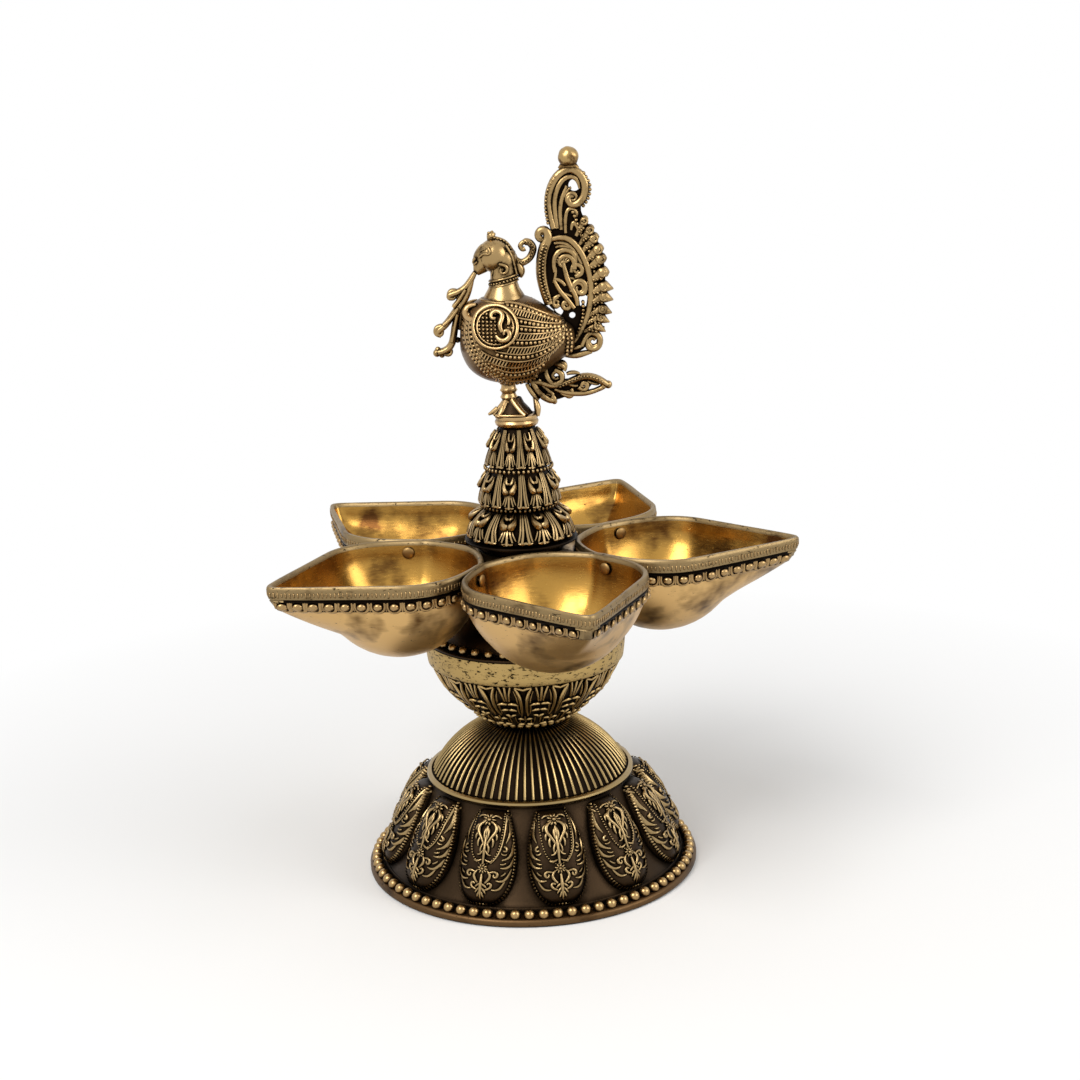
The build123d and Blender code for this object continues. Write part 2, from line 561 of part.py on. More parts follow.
def under_tail_scroll(body, leg, tail, perch):
    shape = strip((1.0, -12.4), (7.0, -15.4), (13.0, -14.6), 2.2) + strip((13.0, -14.6), (20.0, -11.8), (26.4, -15.0), 1.9)
    shape += disc(26.2, -15.0, 1.3) + strip((24.6, -14.0), (21.0, -17.2), (13.6, -16.0), 1.7)
    shape += disc(20.0, -15.8, 0.9) + disc(14.6, -16.6, 1.4)
    shape += strip((5.0, -14.0), (7.2, -17.4), (10.8, -18.6), 2.6) + disc(11.0, -18.2, 1.8)
    shape += disc(11.6, -11.4, 2.7) - disc(11.8, -11.2, 1.2) + disc(13.6, -8.8, 1.5)
    return plate(shape, SCROLL_T) - body - leg - tail - perch


# ---------------------------------------------------------------- build and write
def main():
    nodes = {
        "foot_skirt": foot_skirt(),
        "ribbed_dome": ribbed_dome(),
        "lotus_bowl": lotus_bowl(),
        "bowl_cover": bowl_cover(),
        "cup_hub": cup_hub(),
        "cup_rivets": cup_rivets(),
        "leaf_column": leaf_column(),
        "tie_rod": tie_rod(),
        "tie_washer": tie_washer(),
        "tie_nut": tie_nut(),
        "bird_stud": bird_stud(),
        "perch_collar": perch_collar(),
    }
    for i, cup in enumerate(around(oil_cup(), CUPS, CUP_TURN)):
        nodes[f"oil_cup_{i + 1}"] = cup
    body = body_form()
    leg = bird_leg(body)
    head = bird_head(body)
    tail = tail_fan(body)
    nodes.update(
        bird_body=body,
        bird_leg=leg,
        bird_head=head,
        crest_plume=crest_plume(head),
        beak_creeper=beak_creeper(body, head),
        wing_near=wing(-1, body, head),
        wing_far=wing(1, body, head),
        tail_fan=tail,
        tail_finial=tail_finial(),
        under_tail_scroll=under_tail_scroll(body, leg, tail, nodes["perch_collar"]),
    )
    for name, shape in nodes.items():
        export_step(shape, f"parts/{name}.step")


if __name__ == "__main__":
    main()
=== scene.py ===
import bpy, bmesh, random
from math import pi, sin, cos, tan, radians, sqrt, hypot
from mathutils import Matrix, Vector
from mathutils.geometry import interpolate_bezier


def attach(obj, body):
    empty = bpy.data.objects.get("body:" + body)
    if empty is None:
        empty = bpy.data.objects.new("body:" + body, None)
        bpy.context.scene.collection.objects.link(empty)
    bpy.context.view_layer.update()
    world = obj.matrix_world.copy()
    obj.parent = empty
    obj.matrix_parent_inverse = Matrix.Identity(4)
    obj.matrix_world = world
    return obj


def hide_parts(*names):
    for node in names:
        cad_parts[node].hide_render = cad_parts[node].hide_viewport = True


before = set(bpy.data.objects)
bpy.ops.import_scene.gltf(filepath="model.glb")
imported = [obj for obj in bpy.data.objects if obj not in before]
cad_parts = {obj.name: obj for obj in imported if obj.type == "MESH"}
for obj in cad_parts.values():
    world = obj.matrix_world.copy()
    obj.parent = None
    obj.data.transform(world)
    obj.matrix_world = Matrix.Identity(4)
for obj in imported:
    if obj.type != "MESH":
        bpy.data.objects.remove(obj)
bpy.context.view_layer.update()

# %% [markdown]
# # An aarti lamp in antique cast brass
# The lamp stands on a bell foot and carries five spouted oil cups round a leafed column, with a peacock
# finial on top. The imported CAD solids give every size. This scene dresses them: each step makes one
# casting, finer than its solid, and hangs it on the same body. Sizes are drawn in millimetres and turned
# into metres at the end of a piece.

MM = 0.001

# %% [markdown]
# ## The camera
# The photograph looks slightly down on the lamp, with the lens a little above the cups. The place of the
# camera was found by matching the rims, beads and rings to the photograph. The lamp leans a hair to the
# left in the picture, so the camera is rolled by two degrees instead of tilting the lamp.

# %% Camera at the photograph's viewing angle
def aim_camera(place, pan, pitch, roll, lens):
    forward = Vector((sin(pan) * cos(pitch), cos(pan) * cos(pitch), sin(pitch)))
    level = forward.cross(Vector((0, 0, 1))).normalized()
    upright = level.cross(forward)
    right = level * cos(roll) + upright * sin(roll)
    up = upright * cos(roll) - level * sin(roll)
    camera = bpy.data.objects.new("camera", bpy.data.cameras.new("camera"))
    camera.data.lens = lens
    camera.data.sensor_width = 36
    camera.matrix_world = Matrix.Translation(place) @ Matrix((right, up, -forward)).transposed().to_4x4()
    bpy.context.scene.collection.objects.link(camera)
    bpy.context.scene.camera = camera

CAMERA_PLACE = Vector((0, -554.4, 248.1)) * MM
PAN, PITCH, ROLL = 0.010, -0.259, -0.036  # radians, fitted to the photograph
LENS = 36 * 1928 / 1080                   # a focal length of 1928 dots, on a sensor 36 mm and 1080 dots wide
aim_camera(CAMERA_PLACE, PAN, PITCH, ROLL, LENS)
bpy.context.scene.view_settings.view_transform = "Standard"
print("camera lens in mm:", round(bpy.context.scene.camera.data.lens, 2))

# %% [markdown]
# ## Nodes and colours
# Every finish is made of procedural nodes. Colours are written as sRGB hex values, as they would be picked
# from a brass sample, and one function turns them into the linear values that the shader works in.

# %% One function for colours and one for nodes
def linear(code):
    parts = [int(code[i:i + 2], 16) / 255 for i in (1, 3, 5)]
    return [c / 12.92 if c <= 0.04045 else ((c + 0.055) / 1.055) ** 2.4 for c in parts] + [1]

def add(tree, kind, inputs=(), stops=(), **settings):
    """One node. inputs maps sockets to numbers, colours or outputs; stops are a ramp's colours."""
    new = tree.nodes.new("ShaderNode" + kind)
    for name, value in settings.items():
        setattr(new, name, value)
    for key, value in dict(inputs).items():
        if isinstance(value, bpy.types.NodeSocket):
            tree.links.new(value, new.inputs[key])
        else:
            new.inputs[key].default_value = value
    for i, (place, colour) in enumerate(stops):
        stop = new.color_ramp.elements[i] if i < 2 else new.color_ramp.elements.new(place)
        stop.position, stop.color = place, colour
    return new

def grey(level):
    return (level, level, level, 1)

# %% [markdown]
# ## Antique cast brass
# The lamp is cast in yellow brass, blackened with a liver-of-sulphur wash, and then rubbed back. The dark
# stays in every hollow and the high points shine through. An Ambient Occlusion node finds the hollows: it
# tells how open each point is within a couple of millimetres, which is how far a polishing cloth reaches.
# Noise breaks its edge up, and a fine grain of sand-cast skin sits in the bump.
#
# The castings differ in how far the cloth reached and how bright it left them: the foot and column are
# darkest, the beads and the bird's feather rows brightest, and the bird's skin keeps a brown wash.

# %% Cast brass, blackened and rubbed back
PATCH_MM = 5.0       # width of the patches that the cloth missed
SKIN_LIFT_MM = 0.08  # height of the sand-cast grain
def antique_brass(name, rubbed, brown, black, reach=2.2, wear=(0.42, 0.7, 0.93), shine=0.28, skin=0.5,
                  patch=0.2):
    material = bpy.data.materials.new(name)
    material.use_nodes = True
    tree = material.node_tree
    shader = tree.nodes["Principled BSDF"]
    place = add(tree, "TexCoord").outputs["Object"]
    open_to = add(tree, "AmbientOcclusion", {"Distance": reach * MM}, samples=12).outputs["AO"]
    patches = add(tree, "TexNoise", {"Vector": place, "Scale": 1 / (PATCH_MM * MM), "Detail": 4,
                                     "Roughness": 0.6})
    grain = add(tree, "TexNoise", {"Vector": place, "Scale": 1 / (skin * MM), "Detail": 3, "Roughness": 0.65})
    lift = add(tree, "Math", {0: patches.outputs[0], 1: 0.5}, operation="SUBTRACT").outputs[0]
    speck = add(tree, "Math", {0: grain.outputs[0], 1: 0.5}, operation="SUBTRACT").outputs[0]
    worn = add(tree, "Math", {0: lift, 1: 2 * patch, 2: open_to}, operation="MULTIPLY_ADD").outputs[0]
    worn = add(tree, "Math", {0: speck, 1: 0.34, 2: worn}, operation="MULTIPLY_ADD").outputs[0]
    dark, mid, bright = wear
    # A new ramp has two stops, so the middle one is added last.
    colour = add(tree, "ValToRGB", {"Fac": worn},
                 [(dark, linear(black)), (bright, linear(rubbed)), (mid, linear(brown))])
    rough = add(tree, "ValToRGB", {"Fac": worn}, [(dark, grey(0.62)), (bright, grey(shine))])
    bump = add(tree, "Bump", {"Height": grain.outputs[0], "Strength": 0.35, "Distance": SKIN_LIFT_MM * MM})
    tree.links.new(colour.outputs[0], shader.inputs["Base Color"])
    tree.links.new(rough.outputs[0], shader.inputs["Roughness"])
    tree.links.new(bump.outputs[0], shader.inputs["Normal"])
    shader.inputs["Metallic"].default_value = 1.0
    return material

# What the wash left untouched: flat grounds between the ornament, and the bottoms of grooves.
ground_brass = antique_brass("brass_ground_left_black", "#32261A", "#1C140C", "#0A0603", reach=2.6, shine=0.4)
groove_brass = antique_brass("brass_groove_left_black", "#17100A", "#0E0906", "#060302", reach=1.0, shine=0.5)
# Sand-cast ornament, rubbed on its high points only, so it reads as pale drawing on black.
foot_brass = antique_brass("brass_foot_cast_blackened", "#A18960", "#4C3820", "#181008", reach=1.0)
dome_brass = antique_brass("brass_dome_ribs_rubbed", "#9E875B", "#443319", "#110B06", reach=0.8)
bead_brass = antique_brass("brass_beads_rubbed_bright", "#A88B5E", "#5E4429", "#150D07", reach=1.6)
# Larger castings within easy reach of the cloth, with wide pale ridges and brown flanks.
bowl_brass = antique_brass("brass_bowl_cast_blackened", "#C0A26C", "#523C20", "#160E07", reach=1.2)
column_brass = antique_brass("brass_column_cast_blackened", "#A68C62", "#40301B", "#100A05", reach=1.6)
bird_brass = antique_brass("brass_bird_cast_blackened", "#BC9C6C", "#453119", "#130C06", reach=1.2,
                           patch=0.35)
# Openwork and the head: thin strokes that the cloth could only touch, so patches stay dark.
tail_brass = antique_brass("brass_openwork_cast_blackened", "#A88C5F", "#3A2915", "#110A05", reach=1.7,
                           patch=0.55)
# The bird's plain skin under its feather rows keeps an even brown.
skin_brass = antique_brass("brass_bird_skin_brown", "#6E5536", "#2E2010", "#0E0905", reach=1.6, shine=0.36)
# The ball is handled most, so it is worn bright with dark smears.
ball_brass = antique_brass("brass_ball_worn_in_patches", "#B0925F", "#6A5030", "#1A1108",
                           wear=(0.55, 0.8, 1.0), patch=0.9)
print("antique brasses:", len(bpy.data.materials))

# %% [markdown]
# ## Filed, polished and satin brass
# The cups are finished by hand. Inside, they are scraped and polished until they mirror the flame, with
# streaks that run round and a few brown tarnish stains. Outside, they are only brushed, and show casting
# pits. The bowl's band is filed flat and left rough, so its pits hold black.

# %% Hand-finished brass
# A brown cloud is a tarnish stain; on a cup's outside it is also a painted dark reflection.
CLOUD_MM = 14.0    # width of a tarnish stain
STREAK_MM = 3.0    # length of a polishing streak; squeezed upright to run round the cup
PIT_MM = 1.7       # spacing of the casting pits
def worked_brass(name, bright, tarnish_and_reflection, pit, shine, stain_and_reflection_level, pits, streak=0.0, brushed=0.25):
    material = bpy.data.materials.new(name)
    material.use_nodes = True
    tree = material.node_tree
    shader = tree.nodes["Principled BSDF"]
    place = add(tree, "TexCoord").outputs["Object"]
    cloud = add(tree, "TexNoise", {"Vector": place, "Scale": 1 / (CLOUD_MM * MM), "Detail": 3,
                                   "Roughness": 0.55})
    squeezed = add(tree, "Mapping", {"Vector": place, "Scale": (1, 1, 5)}).outputs[0]
    lines = add(tree, "TexNoise", {"Vector": squeezed, "Scale": 1 / (STREAK_MM * MM), "Detail": 4,
                                   "Roughness": 0.7})
    scratched = add(tree, "Mapping", {"Vector": place, "Scale": (1, 1, 2.2)}).outputs[0]
    holes = add(tree, "TexNoise", {"Vector": scratched, "Scale": 1 / (PIT_MM * MM), "Detail": 5,
                                   "Roughness": 0.7})
    corner = add(tree, "AmbientOcclusion", {"Distance": 2 * MM}, samples=8).outputs["AO"]
    mark = add(tree, "Math", {0: lines.outputs[0], 1: streak, 2: cloud.outputs[0]}, operation="MULTIPLY_ADD")
    # The brown clouds are tarnish; on the cups' outsides they are also painted dark reflections.
    tone = add(tree, "ValToRGB", {"Fac": mark.outputs[0]},
               [(stain_and_reflection_level, linear(tarnish_and_reflection)), (stain_and_reflection_level + 0.2, linear(bright))])
    deep = add(tree, "ValToRGB", {"Fac": holes.outputs[0]}, [(pits, grey(0)), (pits + 0.06, grey(1))])
    soiled = add(tree, "Mix", {0: deep.outputs[0], 6: linear(pit), 7: tone.outputs[0]}, data_type="RGBA")
    edge = add(tree, "ValToRGB", {"Fac": corner}, [(0.3, grey(0)), (0.75, grey(1))])
    whole = add(tree, "Mix", {0: edge.outputs[0], 6: linear(pit), 7: soiled.outputs[2]}, data_type="RGBA")
    rough = add(tree, "MapRange", {"Value": lines.outputs[0], 3: shine, 4: shine + 0.16})
    bump = add(tree, "Bump", {"Height": deep.outputs[0], "Strength": 0.4, "Distance": 0.1 * MM})
    fine = add(tree, "Bump", {"Height": lines.outputs[0], "Strength": brushed, "Distance": 0.06 * MM,
                              "Normal": bump.outputs[0]})
    tree.links.new(whole.outputs[2], shader.inputs["Base Color"])
    tree.links.new(rough.outputs[0], shader.inputs["Roughness"])
    tree.links.new(fine.outputs[0], shader.inputs["Normal"])
    shader.inputs["Metallic"].default_value = 1.0
    return material

# Scraped and polished: a warm mirror with round streaks and brown stains.
cup_inside = worked_brass("brass_cup_inside_polished", "#B28842", "#55361A", "#33200E", 0.17, 0.42, 0.28, 0.2,
                          0.3)
# Wire-brushed: a soft satin with wide highlights. Its brown clouds are tarnish and also painted dark
# reflections.
cup_outside = worked_brass("brass_cup_outside_satin", "#D2AC72", "#5A4022", "#2A1A0D", 0.28, 0.34, 0.3, 0.1,
                           0.2)
# Filed and left rough: black pits in a pale face.
band_brass = worked_brass("brass_band_filed_rough", "#B89C64", "#6E5732", "#140D07", 0.42, 0.42, 0.39, 0.5,
                          0.9)
# The foot's edge, never rubbed: an even brown.
lip_brass = worked_brass("brass_foot_lip_brown", "#5E472E", "#302012", "#120A05", 0.36, 0.42, 0.32, 0.3, 0.4)
# Turned on a lathe and left to dull.
rod_brass = worked_brass("brass_rod_turned_dull", "#96774A", "#4E3A22", "#2A1C0E", 0.35, 0.3, 0.25, 0.3, 0.2)
print("materials:", len(bpy.data.materials))

# %% [markdown]
# ## How a casting becomes a piece
# A bmesh is modelled in millimetres in the lamp's own place. Finishing it merges its doubled points, turns
# its faces outwards, marks the sharp edges and writes it to an object that sits at the origin, as the CAD
# nodes do.

# %% Finishing a piece
def finish_piece(bm, name, materials, nodes, body="lamp", sharp=40, merge=0.004):
    bmesh.ops.remove_doubles(bm, verts=bm.verts, dist=merge)
    bmesh.ops.dissolve_degenerate(bm, edges=bm.edges, dist=merge)
    bmesh.ops.recalc_face_normals(bm, faces=bm.faces)
    bmesh.ops.scale(bm, verts=bm.verts, vec=(MM, MM, MM))
    for face in bm.faces:
        face.smooth = True
    for edge in bm.edges:
        edge.smooth = edge.calc_face_angle(0) < radians(sharp)
    mesh = bpy.data.meshes.new(name)
    bm.to_mesh(mesh)
    bm.free()
    for material in materials if isinstance(materials, list) else [materials]:
        mesh.materials.append(material)
    piece = bpy.data.objects.new(name, mesh)
    bpy.context.scene.collection.objects.link(piece)
    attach(piece, body)
    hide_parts(*nodes)
    print(name, "faces:", len(mesh.polygons))
    return piece

def finish_bird(bm, name, materials, node):
    """A piece of the finial: it rides on the bird, and its fine relief stays soft up to 60 degrees."""
    return finish_piece(bm, name, materials, [node], body="bird", sharp=60, merge=0.001)

def dark(bm):
    """Gives every face of this part the piece's second material."""
    for face in bm.faces:
        face.material_index = 1
    return bm

# %% [markdown]
# ## Smooth lines, the lathe and the ring
# Turned castings start as a half-section of a few points, eased into a smooth line and spun round the axis.
# A pattern that repeats round the lamp is drawn once at the front and copied round.

# %% Lines, lathe and ring
def eased(points, steps=4):
    """A smooth line through a few drawn points."""
    knots = [Vector(p).to_3d() if len(p) == 2 else Vector(p) for p in points]
    line = []
    for i in range(len(knots) - 1):
        a, b = knots[i], knots[i + 1]
        before, after = knots[max(i - 1, 0)], knots[min(i + 2, len(knots) - 1)]
        line += interpolate_bezier(a, a + (b - before) / 6, b - (after - a) / 6, b, steps + 1)[:-1]
    return [tuple(p)[:len(points[0])] for p in line + [knots[-1]]]

def spun(section, steps=96):
    """A closed half-section of (radius, height) points turned round the axis."""
    bm = bmesh.new()
    verts = [bm.verts.new((r, 0, z)) for r, z in section]
    edges = [bm.edges.new(pair) for pair in zip(verts, verts[1:] + verts[:1])]
    bmesh.ops.spin(bm, geom=verts + edges, cent=(0, 0, 0), axis=(0, 0, 1), angle=2 * pi, steps=steps,
                   use_merge=True)
    return bm

def copied(pattern, places, into=None):
    """The pattern once for each matrix in places, in one bmesh."""
    bm = into or bmesh.new()
    mesh = bpy.data.meshes.new("pattern")
    pattern.to_mesh(mesh)
    for place in places:
        start = len(bm.verts)
        bm.from_mesh(mesh)
        bm.verts.ensure_lookup_table()
        bmesh.ops.transform(bm, matrix=place, verts=bm.verts[start:])
    bpy.data.meshes.remove(mesh)
    return bm

def ring(count, turn=0.0):
    """Turns round the axis, with the first one that many degrees to the right of the front."""
    return [Matrix.Rotation(radians(turn + 360 * i / count), 4, "Z") for i in range(count)]

def joined(*parts):
    bm = bmesh.new()
    for part in parts:
        copied(part, [Matrix()], bm)
        part.free()
    return bm

# %% [markdown]
# ## Drawing relief
# Ornament is drawn flat, as a wax modeller rolls threads and lays them on a sheet: each stroke is a smooth
# line that swells and tapers. The sheet is then bent onto the wall of the casting. Small beads are laid
# along lines the same way.

# %% Strokes, beads and bending
def stroke(*lines, sides=1, smooth=3, flat=1.0):
    """Tapering strokes on a flat sheet, from lines of (across, up, radius) points; a fourth value lifts."""
    curve = bpy.data.curves.new("wax", "CURVE")
    curve.dimensions = "3D"
    curve.bevel_depth = 1.0
    curve.bevel_resolution = sides
    curve.use_fill_caps = True
    for line in lines:
        spline = curve.splines.new("NURBS")
        spline.points.add(len(line) - 1)
        for knot, point in zip(spline.points, line):
            knot.co = (point[0], point[1], point[3] if len(point) > 3 else 0, 1)
            knot.radius = point[2]
        spline.order_u = min(3, len(line))
        spline.use_endpoint_u = True
        spline.resolution_u = smooth
    wax = bpy.data.objects.new("wax", curve)
    bm = bmesh.new()
    bm.from_mesh(bpy.data.meshes.new_from_object(wax))
    bmesh.ops.scale(bm, verts=bm.verts, vec=(1, 1, flat))
    bpy.data.objects.remove(wax)
    bpy.data.curves.remove(curve)
    return bm

def spiral(x, y, size, start, turns, thick, steps=9):
    """A curl that winds in round (x, y) from a start angle in degrees; turns is negative for clockwise."""
    line = []
    for i in range(steps + 1):
        share = i / steps
        t, r = radians(start) + 2 * pi * turns * share, size * (1 - 0.72 * share)
        line.append((x + r * cos(t), y + r * sin(t), thick * (1 - 0.45 * share)))
    return line

def both_ways(*lines):
    return list(lines) + [[(-p[0], *p[1:]) for p in line] for line in lines]

def at_depths(lines, *depths):
    """Each (across, up, radius) line once at every depth from the sheet."""
    return [[(x, y, r, depth) for x, y, r in line] for line in lines for depth in depths]

def pearl(radius, fine=1):
    bm = bmesh.new()
    bmesh.ops.create_icosphere(bm, subdivisions=fine, radius=radius)
    return bm

def pearls(points, fine=1):
    """One bead at each (across, up, radius) point, or with a lift."""
    bm = bmesh.new()
    seed = pearl(1.0, fine)
    copied(seed, [Matrix.Translation((p[0], p[1], p[3] if len(p) > 3 else 0)) @ Matrix.Scale(p[2], 4)
                  for p in points], bm)
    seed.free()
    return bm

def along(line, gap, inset=0.0):
    """Evenly spaced points along a drawn line."""
    spots, left = [], inset
    for a, b in zip(line, line[1:]):
        a, b = Vector(a), Vector(b)
        length = (b - a).length
        while left <= length:
            spots.append(tuple(a + (b - a) * (left / max(length, 1e-9))))
            left += gap
        left -= length
    return spots

def bent(bm, place):
    """Moves every point of a flat sheet to its place on the casting."""
    for vert in bm.verts:
        vert.co = place(*vert.co)
    return bm

def on_wall(line, true_at=None):
    """Where (across, up, out) lies on a turned wall; across is in mm at the wall's radius, or at true_at."""
    reach = [0.0]
    for (r0, z0), (r1, z1) in zip(line, line[1:]):
        reach.append(reach[-1] + hypot(r1 - r0, z1 - z0))

    def place(across, up, out):
        i = 0
        while i < len(line) - 2 and up > reach[i + 1]:
            i += 1
        (r0, z0), (r1, z1) = line[i], line[i + 1]
        step = reach[i + 1] - reach[i]
        share = (up - reach[i]) / step
        r, z = r0 + (r1 - r0) * share, z0 + (z1 - z0) * share
        r, z = r + out * (z1 - z0) / step, z - out * (r1 - r0) / step
        turn = across / (true_at or max(r0 + (r1 - r0) * share, 1.0))
        return Vector((r * sin(turn), -r * cos(turn), z))
    place.length = reach[-1]
    return place

# %% [markdown]
# ## The foot skirt
# The foot is one casting: a flared wall with a beaded lip, on which twelve arched cushions lean. The wall
# is turned from its half-section. It is hollow underneath, like the real one, and stands on a narrow ring.

# %% Foot skirt: the turned wall
GROUND = eased([(45.1, 3.4), (42.2, 7.6), (38.6, 13.6), (34.6, 21.4), (30.6, 28.4)])
def foot_wall():
    lip = [(46.7, 0.0), (49.8, 0.0), (50.4, 0.5), (50.45, 1.6), (50.0, 2.2), (49.6, 2.3), (46.6, 2.3),
           (46.2, 2.6)]
    step = [(46.1, 3.6), (45.7, 4.0), (45.3, 3.7)]
    cord = [(30.7, 28.6), (31.3, 29.0), (31.6, 29.7), (31.4, 30.3), (30.9, 30.6), (30.2, 30.5), (29.6, 29.7)]
    under = [(26.0, 29.2), (30.0, 25.4), (36.0, 13.2), (42.4, 3.0)]
    return spun(lip + step + GROUND[1:-1] + cord + under, 120)

def foot_wall_metals(bm):
    """The wall between the cushions stays black; lip and cord are rubbed brown."""
    for face in bm.faces:
        middle = face.calc_center_median()
        if middle.z > 28.4:
            face.material_index = 2
        elif middle.z > 2.4 and middle.xy.length > 27:
            face.material_index = 1
    return bm

finish_piece(foot_wall_metals(foot_wall()), "foot_wall", [lip_brass, ground_brass, dome_brass],
             ["foot_skirt"])

# %% [markdown]
# ### The lip's beads
# Seventy-four round beads stand on the lip. They are cast full and rubbed bright, so they get a few more
# faces than the tiny pearls of the panels.

# %% Lip beads
LIP_BEADS = 74
def lip_beads():
    bead = bmesh.new()
    bmesh.ops.create_uvsphere(bead, u_segments=14, v_segments=9, radius=1.62)
    bmesh.ops.translate(bead, verts=bead.verts, vec=(0, -48.2, 3.1))
    return copied(bead, ring(LIP_BEADS, 2.7))

finish_piece(lip_beads(), "foot_lip_beads", bead_brass, ["foot_skirt"])

# %% [markdown]
# ### The arched cushions
# Each cushion is a pillow: a flat sheet is pulled to the arch's outline, puffed up, and bent onto the wall.
# Its ornament is drawn over it in the same flat measure: across from the middle, and up from the wall's
# foot.

# %% Arched cushions
ARCH = eased([(0.0, 0.0), (0.02, 0.36), (0.06, 0.6), (0.14, 0.82), (0.28, 0.97), (0.45, 1.0), (0.62, 0.93),
              (0.78, 0.78), (0.9, 0.62), (1.0, 0.48)])
CUSHION_W, CUSHION_UP = 8.7, 28.6
ground_place = on_wall(GROUND)

def arch_half(share):
    """Half the cushion's width at a share of its height."""
    share = min(max(share, 0.0), 1.0)
    for (s0, w0), (s1, w1) in zip(ARCH, ARCH[1:]):
        if share <= s1:
            return CUSHION_W * (w0 + (w1 - w0) * (share - s0) / max(s1 - s0, 1e-6))
    return CUSHION_W * ARCH[-1][1]

def puff(side, share):
    """How far the cushion stands off the wall; side runs from -1 to 1 across it."""
    share = min(max(share, 0.0), 1.0)
    top = (3.0 + 1.9 * sin(pi * share)) * min(1.0, share / 0.1, (1 - share) / 0.08) ** 0.5
    return top * max(1 - abs(side) ** 3.2, 0.0) ** 0.6

def on_cushion(across, up, out):
    share = up / CUSHION_UP
    return ground_place(across, up, puff(across / max(arch_half(share), 0.5), share) + out)

def cushion():
    bm = bmesh.new()
    bmesh.ops.create_grid(bm, x_segments=20, y_segments=30, size=1)
    def place(x, y, _):
        side, share = sin(x * pi / 2), (y + 1) / 2
        return ground_place(side * arch_half(share), share * CUSHION_UP, puff(side, share) - 0.3)
    return bent(bm, place)

PANELS = 12
panel_turns = ring(PANELS, 10)
finish_piece(copied(cushion(), panel_turns), "foot_cushions", ground_brass, ["foot_skirt"],
             merge=0.01)

# %% [markdown]
# ### The cushions' ornament
# A border of pearls runs round each arch. Inside it hangs an oval of pearls with a flower at its top and a
# spray below it, then a second flower, a pair of C-scrolls and, at the foot, a fanned acanthus leaf.
# Crescent leaves fill the sides. All of it is strokes and pearls.

# %% Ornament of one cushion
def flower(x, y, size, petals=9):
    lines = []
    for i in range(petals):
        t = 2 * pi * i / petals
        lines.append([(x + size * 0.3 * cos(t), y + size * 0.3 * sin(t), size * 0.12, 0.1),
                      (x + size * 0.7 * cos(t), y + size * 0.7 * sin(t), size * 0.26, 0.25),
                      (x + size * cos(t), y + size * sin(t), size * 0.14, 0.05)])
    return lines

